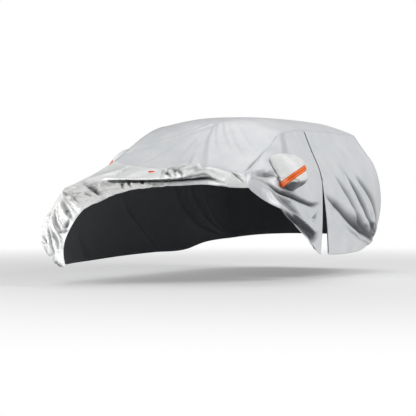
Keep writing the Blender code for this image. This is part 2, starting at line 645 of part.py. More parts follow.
def add_slider(place, way, material, holder):
    """The zip's slider, a rounded block just below the end of the chain."""
    mesh = bpy.data.meshes.new("zip_slider")
    block = bmesh.new()
    bmesh.ops.create_cube(block, size=1)
    bmesh.ops.scale(block, vec=ZIP_SLIDER, verts=block.verts)
    block.to_mesh(mesh)
    block.free()
    mesh.materials.append(material)
    slider = bpy.data.objects.new("zip_slider", mesh)
    slider.parent = holder
    way = Vector(way).normalized()
    clear = Vector((ZIP_SLIDER_GAP, 0, 0))
    slider.location = Vector(place) + way * (ZIP_SLIDER[2] / 2 + ZIP_SLIDER_GAP) + clear
    slider.rotation_mode = "QUATERNION"
    slider.rotation_quaternion = Vector((0, 0, -1)).rotation_difference(way)
    bpy.data.collections["car_cover"].objects.link(slider)
    bevel = slider.modifiers.new("rounded", "BEVEL")
    bevel.width = ZIP_SLIDER_ROUNDING
    bevel.segments = 1


def add_hood_strip(hood, material, holder):
    """The short end of reflective strip that shows on the folded band."""
    tree = panel_tree(hood)
    x, z = HOOD_STRIP_PLACE
    length, width = HOOD_STRIP_SIZE
    starts = [Vector((x + length * share, -RAY_START, z)) for share in np.linspace(-0.5, 0.5, 6)]
    line = np.array([tree.ray_cast(start, Vector((0, 1, 0)))[0] for start in starts])
    facings = np.tile(HOOD_STRIP_FACING, (len(line), 1))
    add_ribbon("hood_strip", line, facings, width, HOOD_STRIP_LIFT, material, holder, STRIP_THICK)


def main():
    """Clears the startup scene, then builds every panel, pocket, strip and zip piece."""
    for old in list(bpy.data.objects):
        bpy.data.objects.remove(old, do_unlink=True)
    for name in ("car_cover", "cutters"):
        bpy.context.scene.collection.children.link(bpy.data.collections.new(name))
    bpy.data.collections["cutters"].hide_render = True
    holder = bpy.data.objects.new("ground_to_roof_rest", None)
    holder.location = -Vector(ROOF_REST)
    bpy.data.collections["car_cover"].objects.link(holder)
    silver = new_material("silver_cloth", SILVER, 0.55)
    bright = new_material("bright_silver_cloth", BRIGHT_SILVER, 0.35, 0.3)
    orange = new_material("orange_reflective", ORANGE, 0.4)
    dark = new_material("zip_teeth", ZIP_DARK, 0.5)
    tape = new_material("zip_tape", TAPE_GREY, 0.7)
    top = top_grid()
    add_cloth("top_panel", top, silver, holder)
    add_cloth("rear_panel", rear_grid(), silver, holder)
    hood = hood_grid()
    add_cloth("hood_panel", hood, bright, holder)
    add_hood_strip(hood, orange, holder)
    left_front, right = left_front_grid(), right_grid()
    left_sheet = add_cloth("left_front_panel", left_front, silver, holder)
    add_cloth("left_rear_panel", left_rear_grid(), silver, holder)
    right_sheet = add_cloth("right_panel", right, silver, holder)
    add_pocket(POCKETS[0], panel_tree(left_front, top), left_sheet, bright, orange, holder)
    add_pocket(POCKETS[1], panel_tree(right, top), right_sheet, bright, orange, holder)
    add_zip(dark, tape, holder)


main()
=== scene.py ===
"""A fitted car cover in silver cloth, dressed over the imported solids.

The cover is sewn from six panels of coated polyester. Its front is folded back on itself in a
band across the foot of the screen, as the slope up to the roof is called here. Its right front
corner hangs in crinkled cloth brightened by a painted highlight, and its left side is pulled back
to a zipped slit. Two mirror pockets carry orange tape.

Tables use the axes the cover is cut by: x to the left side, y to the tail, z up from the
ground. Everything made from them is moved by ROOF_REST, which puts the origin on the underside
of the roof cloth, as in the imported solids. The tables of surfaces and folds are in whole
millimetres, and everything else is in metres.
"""

import logging
import math
from dataclasses import dataclass
from enum import Enum
from typing import Callable, Iterable, Sequence

import bmesh
import bpy
import numpy as np
from bpy.types import Material, NodeSocket, NodeTree, Object
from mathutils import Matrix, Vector, noise
from mathutils.bvhtree import BVHTree

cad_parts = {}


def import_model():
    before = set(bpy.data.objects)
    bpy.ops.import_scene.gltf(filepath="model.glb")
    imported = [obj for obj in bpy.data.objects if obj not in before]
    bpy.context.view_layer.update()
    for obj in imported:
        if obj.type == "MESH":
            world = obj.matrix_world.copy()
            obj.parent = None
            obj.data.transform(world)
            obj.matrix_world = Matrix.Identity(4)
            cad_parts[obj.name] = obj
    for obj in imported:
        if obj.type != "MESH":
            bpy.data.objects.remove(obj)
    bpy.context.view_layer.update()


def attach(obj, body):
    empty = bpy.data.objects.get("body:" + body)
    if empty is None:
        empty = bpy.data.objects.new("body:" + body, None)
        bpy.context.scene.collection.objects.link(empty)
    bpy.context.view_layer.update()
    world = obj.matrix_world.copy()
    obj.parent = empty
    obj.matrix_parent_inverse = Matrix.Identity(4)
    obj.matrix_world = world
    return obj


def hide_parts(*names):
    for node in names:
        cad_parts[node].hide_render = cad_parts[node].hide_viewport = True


LOG = logging.getLogger("car_cover")
Points = np.ndarray
Place = Sequence[float]

ROOF_REST = np.array((0.0, 0.80, 1.548))
CLOTH = 0.002
TAPE = 0.0012
MM = 1000
# How far short of a seam's line a panel stops, and its first rows of cells from an edge.
SEAM_TRIM = 0.0003
EDGE_ROWS = (0.0, 0.004, 0.009, 0.016)
# How far from a seam a panel moves fully in its folds.
SEAM_EASE = 0.045
# How finely curves and the paths of folds are followed.
FINE_STEPS = 40
PATH_STEPS = 120
# The strips that a cross-section of the top panel and of the rear panel is cut into.
TOP_STRIPS = 16
TAIL_STRIPS = 14
# How far the paths of folds wander, over what length, and by which noises.
WANDER = 0.010
WANDER_SIZE = (0.22, 0.22, 0.22)
WANDER_SEEDS = (91, 97)
# How far down cloth faces where its painted shade starts, and where it is full.
UNDERSIDE_SHADE = (0.35, 0.85)
# The height at which a fold's hollow gets its full painted shade, and a path's least share of width.
FULL_DARK = 0.03
LEAST_WIDTH = 0.25
# Noise: its spread, and how far its seeds lie apart.
NOISE_GAIN = 1.6
NOISE_STEP = 17.3
# Facets: how they are bent out of line, how far seeds lie apart, the mixing of their corners'
# random heights, and a turn of their cubes away from the cover's own axes.
FACET_WARP = 0.55
FACET_WARP_SIZE = 2.2
FACET_WARP_SEED = 40
FACET_STEP = 5.7
HASH = (127.1, 311.7, 74.7)
HASH_STEP = 3.3
HASH_GAIN = 43758.5453
FACET_TURN = np.array(((0.36, 0.48, -0.80), (-0.80, 0.60, 0.00), (0.48, 0.64, 0.60)))


def in_metres(value: object) -> object:
    """A table with its whole numbers, which are millimetres, turned to metres."""
    if isinstance(value, tuple):
        return tuple(in_metres(item) for item in value)
    return value / MM if isinstance(value, int) else value


# The lines that the smooth surfaces are drawn through. Whole numbers are millimetres.
STATIONS = in_metres((
    # place, left seam, middle y and z, right seam, roundness
    ("screen foot", (615, -1108, 975), (-1075, 1015), (-760, -980, 1100), 2.0),
    ("screen low", (600, -860, 1070), (-880, 1160), (-720, -820, 1190), 2.0),
    ("screen middle", (600, -550, 1210), (-640, 1325), (-670, -620, 1310), 2.2),
    ("screen high", (585, -225, 1355), (-420, 1450), (-630, -320, 1420), 2.6),
    ("roof front", (580, 100, 1395), (-80, 1524), (-610, 20, 1460), 3.0),
    ("zip top", (580, 420, 1415), (350, 1541), (-590, 400, 1440), 3.2),
    ("roof middle", (580, 800, 1418), (800, 1548), (-580, 800, 1425), 3.2),
    ("roof rear", (580, 1250, 1418), (1250, 1549), (-580, 1250, 1418), 3.2),
    ("roof end", (575, 1650, 1416), (1650, 1541), (-575, 1650, 1416), 3.2),
    ("roof corner", (560, 1980, 1412), (2060, 1500), (-560, 1980, 1412), 3.2),
))
TAIL = in_metres((
    # height, left corner seam, middle y and z
    ("roof corner", (560, 1980, 1412), (2060, 1500)),
    ("upper", (665, 2000, 1255), (2130, 1330)),
    ("shoulder", (775, 1980, 1110), (2180, 1130)),
    ("flank", (875, 1930, 700), (2230, 750)),
    ("hem", (805, 1860, 320), (2170, 370)),
))
LEFT_FRONT = in_metres((
    # place, upper line, shoulder, flank, hem
    ("free edge", (650, -1128, 850), (720, -1110, 785), (830, -1070, 710), (920, -1020, 665)),
    ("front", (690, -930, 1020), (790, -950, 930), (880, -900, 750), (925, -790, 530)),
    ("mid front", (655, -620, 1130), (790, -680, 980), (900, -620, 720), (930, -470, 390)),
    ("pocket", (672, -400, 1200), (800, -430, 1000), (920, -380, 720), (930, -250, 300)),
    ("mid rear", (678, 40, 1215), (805, -20, 1010), (930, -120, 710), (930, -130, 255)),
    ("zip", (680, 362, 1222), (800, 277, 1017), (915, 45, 680), (925, -36, 228)),
))
LEFT_REAR = in_metres((
    # place, upper line, shoulder, flank, hem
    ("zip", (680, 366, 1222), (800, 281, 1017), (915, 125, 680), (920, 200, 220)),
    ("front", (685, 800, 1220), (815, 780, 1020), (920, 720, 700), (925, 600, 213)),
    ("middle", (690, 1250, 1220), (825, 1230, 1020), (920, 1200, 700), (930, 1120, 235)),
    ("rear", (680, 1660, 1240), (810, 1640, 1030), (905, 1620, 700), (900, 1520, 295)),
    ("corner", TAIL[1][1], TAIL[2][1], TAIL[3][1], TAIL[4][1]),
))
HOOD = in_metres((
    # path, foot x, ridge, lip, depth, bed, edge
    ("left end", 615, (622, -1116, 948), (632, -1122, 915), 0, (642, -1127, 880), (650, -1129, 852)),
    ("left", 550, (575, -1150, 950), (578, -1182, 900), 4, (578, -1178, 876), (580, -1165, 852)),
    ("left inner", 450, (452, -1190, 992), (475, -1275, 902), 20, (485, -1262, 882), (500, -1240, 858)),
    ("left middle", 300, (300, -1200, 1042), (350, -1360, 958), 120, (330, -1280, 915), (320, -1290, 880)),
    ("middle", 120, (116, -1200, 1056), (170, -1390, 945), 160, (140, -1310, 912), (120, -1370, 872)),
    ("right middle", -150, (-156, -1200, 1016), (-80, -1400, 928), 160, (-130, -1340, 897), (-160, -1450, 850)),
    ("right inner", -470, (-490, -1200, 1000), (-460, -1380, 925), 100, (-430, -1540, 865), (-360, -1780, 790)),
    ("right", -660, (-690, -1180, 990), (-710, -1370, 925), 60, (-660, -1720, 850), (-440, -1950, 722)),
    ("right end", -760, (-820, -1150, 1010), (-840, -1420, 930), 0, (-840, -1800, 835), (-500, -2060, 665)),
))
RIGHT = in_metres((
    # place, point of the top line, upper line, shoulder, flank, hem
    ("free edge", 0.0, (-550, -2085, 600), (-610, -2100, 500), (-665, -2110, 360), (-660, -2090, 170)),
    ("front corner", 1.0, (-860, -1860, 750), (-880, -1910, 660), (-950, -1990, 420), (-850, -1860, 165)),
    ("front", 2.5, (-880, -1480, 800), (-920, -1520, 670), (-965, -1540, 420), (-930, -1520, 170)),
    ("screen foot", 4.0, (-870, -1150, 900), (-910, -1150, 780), (-955, -1150, 480), (-940, -1150, 180)),
    ("pocket", 7.0, (-770, -600, 1170), (-860, -580, 1000), (-940, -560, 620), (-940, -560, 200)),
    ("mid front", 9.5, (-700, 200, 1250), (-820, 200, 1030), (-930, 200, 680), (-930, 200, 215)),
    ("middle", 11.5, (-690, 1020, 1220), (-825, 1020, 1020), (-920, 1000, 700), (-930, 950, 220)),
    ("rear", 13.0, (-680, 1660, 1240), (-810, 1640, 1030), (-905, 1620, 700), (-900, 1520, 295)),
    ("rear corner", 14.0, *((-x, y, z) for _, (x, y, z), _ in TAIL[1:])),
))
# How far under its lip the folded band turns back, the depth at which it is fully folded, and
# how far on its cloth runs where it isn't.
FOLD_DROP = 0.022
FULL_FOLD = 0.1
ONWARD_SHARE = 0.4
# The point of the right side's top line where the roof seam starts.
RIGHT_SEAM_FIRST = 5


class Held(Enum):
    """How a sheet of the cover is held."""

    DRAPED = "draped"
    FOLDED = "folded"
    STRETCHED = "stretched"


class Slot(Enum):
    """The record's material slots."""

    SILVER = "silver_cloth"
    BRIGHT = "bright_silver_cloth"
    ORANGE = "orange_reflective"
    TAPE = "zip_tape"
    TEETH = "zip_teeth"


# ---------------------------------------------------------------- surfaces


def curve(points: Sequence, at: Points) -> Points:
    """Reads smooth curves through rows of points.

    Args:
        points: Rows of points, or of anything made of numbers.
        at: Row numbers, which may fall between rows.

    Returns:
        The curves' values at those rows.
    """
    points = np.asarray(points, float)
    last = len(points) - 1
    steps = np.diff(points, axis=0)
    spans = np.linalg.norm(steps, axis=-1, keepdims=True) + 1e-9
    slopes = steps / spans
    inner = (slopes[:-1] * spans[1:] + slopes[1:] * spans[:-1]) / (spans[:-1] + spans[1:])
    tangents = np.concatenate([2 * slopes[:1] - inner[:1], inner, 2 * slopes[-1:] - inner[-1:]])
    at = np.clip(np.asarray(at, float), 0, last)
    row = np.minimum(at.astype(int), last - 1)
    u = (at - row).reshape((-1,) + (1,) * (points.ndim - 1))
    span = spans[row]
    return (
        (2 * u**3 - 3 * u**2 + 1) * points[row]
        + (u**3 - 2 * u**2 + u) * span * tangents[row]
        + (3 * u**2 - 2 * u**3) * points[row + 1]
        + (u**3 - u**2) * span * tangents[row + 1]
    )


def distances(line: Points) -> Points:
    """The distance along a line to each of its points."""
    return np.concatenate([[0], np.cumsum(np.linalg.norm(np.diff(line, axis=0), axis=1))])


def rows_every(cell: float, lines: Callable[[Points], Points], first: float, last: float) -> Points:
    """Chooses row numbers that cut curves into even cells, with finer ones at both ends.

    Args:
        cell: The size of a cell, in metres.
        lines: Gives the curves' points at row numbers.
        first: The row number to start at.
        last: The row number to end at.

    Returns:
        The row numbers.
    """
    fine = np.linspace(first, last, FINE_STEPS * (int(last - first) + 1))
    lengths = np.linalg.norm(np.diff(lines(fine), axis=0), axis=-1)
    while lengths.ndim > 1:
        lengths = lengths.mean(axis=-1)
    run = np.concatenate([[0], np.cumsum(lengths)])
    edge = np.array(EDGE_ROWS)
    inner = np.linspace(edge[-1], run[-1] - edge[-1], max(2, round(run[-1] / cell)) + 1)
    places = np.concatenate([edge[:-1], inner, run[-1] - edge[:-1][::-1]])
    places[0], places[-1] = SEAM_TRIM, run[-1] - SEAM_TRIM
    return np.interp(places, run, fine)


def loft(cell: float, lines: Callable[[Points], Points], last: float, down: tuple) -> Points:
    """Makes a grid of points on smooth columns through lines.

    Args:
        cell: The size of a cell, in metres.
        lines: Gives one point on each line at row numbers along them.
        last: The row number to end at.
        down: The first and last line that the grid spans.

    Returns:
        The grid, indexed by its place down, its place along, and x, y, z.
    """
    columns = np.swapaxes(lines(rows_every(cell, lines, 0, last)), 0, 1)

    def down_lines(at: Points) -> Points:
        """Reads the columns at these lines."""
        return curve(columns, at)

    return down_lines(rows_every(cell, down_lines, *down))


def column(table: Sequence, index: int) -> list:
    """One column of a table."""
    return [row[index] for row in table]


def crossed(left: Points, middle: Points, right: Points, power: Points, across: float) -> Points:
    """Reads one point of each cross-section.

    Args:
        left: Their points at the left seam.
        middle: Their points midway.
        right: Their points at the right seam.
        power: How square they are.
        across: Where to read: 1 is the left seam, 0 midway and -1 the right seam.

    Returns:
        The points.
    """
    seam = left if across >= 0 else right
    share = abs(across)
    shares = np.concatenate([np.full_like(power, share), share**power, share**power], axis=-1)
    return middle + (seam - middle) * shares


def crossings(left: Points, middle: Points, right: Points, power: Points, strips: int) -> Points:
    """The points between even strips of each cross-section, from its left seam to its right."""
    shares = np.linspace(1, -1, strips + 1)
    return np.stack([crossed(left, middle, right, power, across) for across in shares], axis=1)


def left_seam(at: Points) -> Points:
    """The seam between the top panel and the left side, at stations."""
    return curve(column(STATIONS, 1), at)


def seam_behind_zip(at: Points) -> Points:
    """The same seam, with its stations counted from the zip's top."""
    return left_seam(np.asarray(at) + len(LEFT_FRONT) - 1)


def hood_path(row: Sequence) -> list:
    """The points that one path of the front panel runs through, from the screen's foot."""
    _, foot_x, ridge, lip, depth, bed, edge = row
    folded = min(depth / FULL_FOLD, 1)
    under = np.add(lip, (0, depth, -FOLD_DROP))
    onward = np.add(lip, ONWARD_SHARE * np.subtract(bed, lip))
    return [screen_point(0, foot_x), ridge, lip, tuple(folded * under + (1 - folded) * onward), bed, edge]


def screen_point(station: int, x: float) -> tuple:
    """A point across one station of the top panel, as far across it as x is across the foot."""
    foot_left, foot_right = STATIONS[0][1][0], -STATIONS[0][3][0]
    _, left, middle, right, power = STATIONS[station]
    across = x / (foot_left if x >= 0 else foot_right)
    return tuple(crossed(np.array(left), np.array([0, *middle]), np.array(right), np.array([power]), across))


def hood_lines(at: Points) -> Points:
    """The front panel's lines from left to right, led by one up the screen."""
    paths = [[screen_point(1, row[1]), *hood_path(row)] for row in HOOD]
    return np.stack([curve(points, at) for points in zip(*paths)], axis=1)


def right_top() -> list:
    """The right side's top line: the last hood path from its free edge, then the roof seam."""
    return hood_path(HOOD[-1])[::-1] + column(STATIONS, 3)[1:]


def right_seam(at: Points) -> Points:
    """The seam between the top panel and the right side, at stations."""
    return curve(right_top(), np.asarray(at, float) + RIGHT_SEAM_FIRST)


def four_lines(table: Sequence, first: int, at: Points) -> list:
    """The points at these rows on the four lines in a side's table, from its column first on."""
    return [curve(column(table, index), at) for index in range(first, first + 4)]


def right_lines(at: Points) -> Points:
    """The right side's lines at points of its top line."""
    rows = np.interp(at, column(RIGHT, 1), range(len(RIGHT)))
    return np.stack([curve(right_top(), at), *four_lines(RIGHT, 2, rows)], axis=1)


def side_lines(seam: Callable[[Points], Points], table: Sequence) -> Callable[[Points], Points]:
    """The seam and the four lines of a left side's table, as one function of the station."""

    def lines(at: Points) -> Points:
        """One point on each line at each station."""
        return np.stack([seam(at), *four_lines(table, 1, at)], axis=1)

    return lines


def roof_lines(at: Points) -> Points:
    """The top panel's lines from seam to seam, at stations."""
    at = np.atleast_1d(at).astype(float)
    middle = curve([(0.0, *point) for point in column(STATIONS, 2)], at)
    power = np.interp(at, range(len(STATIONS)), column(STATIONS, 4))[:, None]
    return crossings(left_seam(at), middle, right_seam(at), power, TOP_STRIPS)


def tail_lines(at: Points) -> Points:
    """The rear panel's lines from corner seam to corner seam, at heights."""
    left = curve(column(TAIL, 1), at)
    middle = curve([(0.0, *point) for point in column(TAIL, 2)], at)
    power = np.full((len(left), 1), STATIONS[-1][4])
    return crossings(left, middle, left * (-1, 1, 1), power, TAIL_STRIPS)


def normals_of(points: Points) -> Points:
    """The unit normal at each point of a grid."""
    normals = np.cross(np.gradient(points, axis=1), np.gradient(points, axis=0))
    return normals / (np.linalg.norm(normals, axis=-1, keepdims=True) + 1e-12)


def facing(points: Points, outward: Place) -> Points:
    """The grid turned over, if need be, so that its normals lie along outward."""
    return points if (normals_of(points) @ np.array(outward)).sum() > 0 else points[:, ::-1]


def runs(points: Points) -> Points:
    """The distance along and down a grid to each of its points, on its last axis."""
    along, down = np.zeros(points.shape[:2]), np.zeros(points.shape[:2])
    along[:, 1:] = np.cumsum(np.linalg.norm(np.diff(points, axis=1), axis=-1), axis=1)
    down[1:] = np.cumsum(np.linalg.norm(np.diff(points, axis=0), axis=-1), axis=0)
    return np.stack([along, down], axis=-1)


def from_edges(metres: Points) -> list:
    """How far each point of a grid lies from its edges above, below, before and behind."""
    along, down = metres[..., 0], metres[..., 1]
    return [down, down[-1:] - down, along, along[:, -1:] - along]


def noise_at(places: Points, size: Place, seed: int) -> Points:
    """Smooth noise from about -1 to 1.

    Args:
        places: Points in metres, on the last axis.
        size: How wide its blobs are along x, y and z, in metres.
        seed: Any number, which picks another noise.

    Returns:
        The noise at each point.
    """
    scaled = places / np.asarray(size) + NOISE_STEP * seed
    values = [noise.noise(place) for place in scaled.reshape(-1, 3).tolist()]
    return np.array(values).reshape(places.shape[:-1]) * NOISE_GAIN


def facets_at(places: Points, size: Place, seed: int) -> Points:
    """Crumpled noise from -1 to 1: flat facets that meet in sharp creases.

    Space is cut into cubes, each cube into six tetrahedra, and random heights at their corners
    are joined by flat faces.

    Args:
        places: Points in metres, on the last axis.
        size: How wide its facets are along x, y and z, in metres.
        seed: Any number, which picks another noise.

    Returns:
        The noise at each point.
    """
    size = np.asarray(size)
    seeds = range(seed + FACET_WARP_SEED, seed + FACET_WARP_SEED + 3)
    warp = np.stack([noise_at(places, size * FACET_WARP_SIZE, each) for each in seeds], axis=-1)
    scaled = (places / size + FACET_WARP * warp) @ FACET_TURN + FACET_STEP * seed
    corner = np.floor(scaled)
    share = scaled - corner
    order = np.argsort(-share, axis=-1)
    total = before = corner_height(corner, seed)
    for step in range(3):
        axis = order[..., step : step + 1]
        np.put_along_axis(corner, axis, np.take_along_axis(corner, axis, -1) + 1, -1)
        after = corner_height(corner, seed)
        total = total + (after - before) * np.take_along_axis(share, axis, -1)[..., 0]
        before = after
    return total


def corner_height(corner: Points, seed: int) -> Points:
    """A fixed random height from -1 to 1 for each corner of the cubes."""
    mixed = np.sin(corner @ HASH + HASH_STEP * seed) * HASH_GAIN
    return 2 * (mixed - np.floor(mixed)) - 1


def smooth_share(value: Points, low: float, high: float) -> Points:
    """0 below low, 1 above high, and smooth between."""
    share = np.clip((value - low) / (high - low), 0, 1)
    return share * share * (3 - 2 * share)


# ---------------------------------------------------------------- folds


@dataclass(frozen=True)
class Fold:
    """A line that a panel's cloth is folded along.

    Attributes:
        left: How wide it is on the left of its path at its highest, in millimetres.
        right: How wide it is on the right of its path.
        path: Two place coordinates and the height there, at each point of its path.
        dark: How much painted shade darkens the cloth in its hollow, from 0 to 1.
    """

    left: int
    right: int
    path: tuple
    dark: float = 0.0

    def lift(self, places: Points) -> Points:
        """How far it lifts each place, and how much painted shade it puts there.

        Args:
            places: The places' two coordinates, on the last axis.

        Returns:
            The lift of each in metres, then its painted shade from 0 to 1.
        """
        left, right = self.left / MM, self.right / MM
        line = curve(np.array(self.path) / MM, np.linspace(0, len(self.path) - 1, PATH_STEPS))
        way = np.gradient(line[:, :2], axis=0)
        way /= np.linalg.norm(way, axis=1, keepdims=True)
        reach = 3 * max(left, right)
        near = (places > line[:, :2].min(axis=0) - reach) & (places < line[:, :2].max(axis=0) + reach)
        near = near.all(axis=-1)
        offsets = places[near][:, None] - line[:, :2]
        nearest = (offsets**2).sum(axis=-1).argmin(axis=-1)
        offset, way = offsets[np.arange(len(nearest)), nearest], way[nearest]
        taper = np.clip(line[:, 2] / line[:, 2].max(), LEAST_WIDTH, 1)[nearest] ** 0.5
        along = 2 * (offset * way).sum(axis=-1) / (left + right)
        past = np.where(nearest == 0, np.minimum(along, 0), 0)
        past = np.where(nearest == PATH_STEPS - 1, np.maximum(along, 0), past)
        across = offset[:, 0] * way[:, 1] - offset[:, 1] * way[:, 0]
        across = np.where(across < 0, across / left, across / right) / taper
        height = line[nearest, 2] * np.exp(-(past**2))
        total = np.zeros((2, *places.shape[:-1]))
        total[0, near] = height * self.profile(across)
        # Painted shade, strongest in the hollow and where the fold stands high.
        total[1, near] = self.dark * self.hollow(across) * np.clip(height / FULL_DARK, 0, 1)
        return total

    def profile(self, across: Points) -> Points:
        """Its height across its path, in shares, at distances in its own widths."""
        raise NotImplementedError

    def hollow(self, across: Points) -> Points:
        """How much of its painted shade each place gets, most in its hollow, from 0 to 1."""
        raise NotImplementedError


@dataclass(frozen=True)
class Ridge(Fold):
    """A fold with a ridge along its path, a steep side to the right of it and a trough past that.

    Attributes:
        trough: How deep its trough is, as a share of its height.
    """

    trough: float = 0.7

    def profile(self, across: Points) -> Points:
        """Its height across its path, in shares, at distances in its own widths."""
        steep = (1 + self.trough) * (0.5 + 0.5 * np.cos(np.pi * np.clip(across, 0, 1))) - self.trough
        after = -self.trough * np.exp(-(((across - 1) / 1.2) ** 2))
        return np.where(across < 0, np.exp(-(across**2)), np.where(across < 1, steep, after))

    def hollow(self, across: Points) -> Points:
        """How much of its painted shade each place gets, most in its hollow, from 0 to 1."""
        return np.exp(-(((across - 0.8) / 0.55) ** 4))


@dataclass(frozen=True)
class Valley(Fold):
    """A fold with a sharp valley along its path, between two puffed lips.

    Attributes:
        lips: How high its lips are, as a share of its depth.
    """

    lips: float = 0.3

    def profile(self, across: Points) -> Points:
        """Its height across its path, in shares, at distances in its own widths."""
        away = np.abs(across)
        return self.lips * np.exp(-(((away - 1.3) / 0.45) ** 2)) - np.clip(1 - away, 0, 1) ** 1.4

    def hollow(self, across: Points) -> Points:
        """How much of its painted shade each place gets, most in its hollow, from 0 to 1."""
        return np.exp(-((np.abs(across) / 0.85) ** 3))


@dataclass(frozen=True)
class Crumple:
    """A patch of creased cloth, shared by every panel it reaches.

    Attributes:
        centre: The middle of the patch.
        reach: How far it reaches along x, y and z.
        size: The size of a facet, in metres.
        height: How high its creases stand.
        sharp: 0 for soft waves, 1 for sharp creases.
        seed: Picks another pattern.
        dark: How much painted shade darkens the cloth in its hollows, from 0 to 1.
        painted_gleam: A painted highlight over the whole patch, with deeper crinkles, from 0 to 1.
        octaves: How many patterns lie over each other, each finer and lower than the last.
        finer: How much finer.
        deep: The depth at which painted shade starts in its hollows, and at which it is full.
    """

    centre: tuple
    reach: tuple
    size: tuple
    height: float
    sharp: float
    seed: int
    dark: float = 0.0
    painted_gleam: float = 0.0
    octaves: int = 3
    finer: float = 1.9
    deep: tuple = (0.45, 0.95)

    def away(self, points: Points) -> Points:
        """How far each point is from its centre, squared, in its own reaches."""
        return (((points - self.centre) / np.asarray(self.reach)) ** 2).sum(axis=-1)

    def lift(self, points: Points) -> Points:
        """How far it lifts each point, and how much painted shade it puts there.

        Args:
            points: The points of a grid.

        Returns:
            The lift of each in metres, then its painted shade from 0 to 1.
        """
        share = np.exp(-(self.away(points) ** 2))
        total = np.zeros((2, *points.shape[:-1]))
        near = share > 0.01
        if not near.any():
            return total
        for octave in range(self.octaves):
            pattern = points[near], np.asarray(self.size, float) / self.finer**octave, self.seed + octave
            waves = self.sharp * facets_at(*pattern) + (1 - self.sharp) * noise_at(*pattern)
            total[0, near] += waves / 2.0**octave
        # Painted shade in the patch's hollows.
        total[1, near] = self.dark * smooth_share(-total[0, near], *self.deep)
        return total * share * np.array((self.height, 1.0)).reshape(2, 1, 1)


# Folds of each panel: its widths, its path as (place, height) triples, its painted shade, and its
# trough or lips. Places on the sides are y, z, or the distance round the right side and z. On the
# top and front panels they are x and the distance from the screen's foot.
LEFT_FRONT_FOLDS = (
    # the deep folds from the pocket's foot to the zip, from the top down
    Valley(30, 40, ((-1030, 900, 6), (-950, 828, 30), (-800, 790, 52), (-650, 766, 50), (-500, 727, 42),
        (-340, 708, 34), (-200, 703, 24), (-60, 710, 3)), 1.0),
    Valley(38, 48, ((-1000, 862, 4), (-950, 765, 20), (-860, 718, 30), (-770, 668, 36), (-650, 622, 28),
        (-550, 580, 10), (-460, 550, 2)), 0.75),
    Ridge(20, 18, ((-1020, 875, 4), (-950, 750, 14), (-860, 692, 18), (-760, 625, 20), (-580, 553, 18),
        (-360, 478, 6)), 0.2, 0.3),
    Valley(34, 62, ((-970, 670, 4), (-860, 615, 30), (-720, 560, 46), (-560, 505, 52), (-400, 455, 50),
        (-270, 425, 10)), 1.0, 0.2),
    Ridge(14, 14, ((-660, 515, 2), (-520, 478, 18), (-380, 437, 2)), 0.0, 0.2),
    Valley(50, 70, ((-440, 440, 6), (-340, 405, 34), (-260, 410, 28), (-180, 440, 3)), 1.0, 0.2),
    Ridge(20, 16, ((-980, 630, 3), (-800, 535, 14), (-580, 435, 14), (-380, 350, 12),
        (-200, 285, 3)), 0.5, 0.6),
    Valley(24, 20, ((-350, 577, 3), (-270, 588, 24), (-170, 612, 3)), 0.9),
    # the corner between screen and side
    Ridge(70, 95, ((-520, 1110, 2), (-450, 1180, 10), (-360, 1264, 18), (-274, 1339, 20),
        (-210, 1395, 16)), 0.35, 0.8),
    # soft folds round the pocket's foot
    Valley(24, 36, ((-1030, 950, 4), (-970, 962, 26), (-900, 982, 24), (-830, 1005, 3)), 0.9),
    Valley(20, 20, ((-930, 965, 3), (-870, 925, 18), (-790, 885, 3)), 0.8),
    Ridge(60, 40, ((-550, 665, 2), (-380, 600, 10), (-240, 530, 2)), 0.0),
)
LEFT_REAR_FOLDS = (
    # the long pulls that meet at the lower rear corner, from the lowest up
    Valley(85, 60, ((180, 785, 2), (270, 738, 18), (440, 660, 34), (630, 578, 48), (830, 513, 58),
        (1030, 454, 60), (1290, 393, 46), (1570, 344, 22), (1760, 325, 4)), 1.0),
    Valley(80, 34, ((590, 985, 2), (645, 933, 14), (710, 862, 26), (810, 756, 34), (900, 640, 34),
        (990, 555, 30), (1130, 475, 16), (1270, 425, 2)), 0.8),
    Valley(70, 34, ((820, 1130, 1), (840, 1060, 7), (870, 990, 9), (900, 920, 2)), 0.4),
    Valley(45, 95, ((930, 1060, 3), (975, 960, 16), (1030, 875, 30), (1150, 774, 42), (1270, 672, 50),
        (1370, 550, 50), (1500, 440, 30), (1680, 355, 6)), 0.85),
    Ridge(30, 26, ((1160, 930, 3), (1250, 830, 16), (1350, 720, 22), (1470, 586, 22),
        (1560, 470, 6)), 0.0, 0.2),
    Valley(90, 34, ((1190, 975, 2), (1260, 915, 18), (1380, 845, 28), (1490, 755, 34), (1570, 651, 34),
        (1635, 557, 30), (1700, 445, 24), (1760, 370, 4)), 0.9),
    Valley(50, 50, ((1640, 470, 10), (1720, 400, 45), (1790, 340, 30)), 1.0, 0.2),
    Valley(30, 16, ((235, 775, 4), (280, 715, 16), (370, 630, 3)), 0.5),
    Valley(30, 26, ((1450, 520, 6), (1540, 460, 45), (1630, 415, 30)), 1.0, 0.2),
    Ridge(70, 45, ((600, 460, 1), (950, 400, 4), (1350, 345, 4), (1700, 325, 1)), 0.0),
    Ridge(70, 45, ((360, 360, 1), (700, 330, 4), (1100, 300, 4), (1500, 305, 1)), 0.0),
    Ridge(60, 40, ((260, 620, 1), (420, 550, 4), (700, 470, 4), (1000, 400, 1)), 0.0),
)
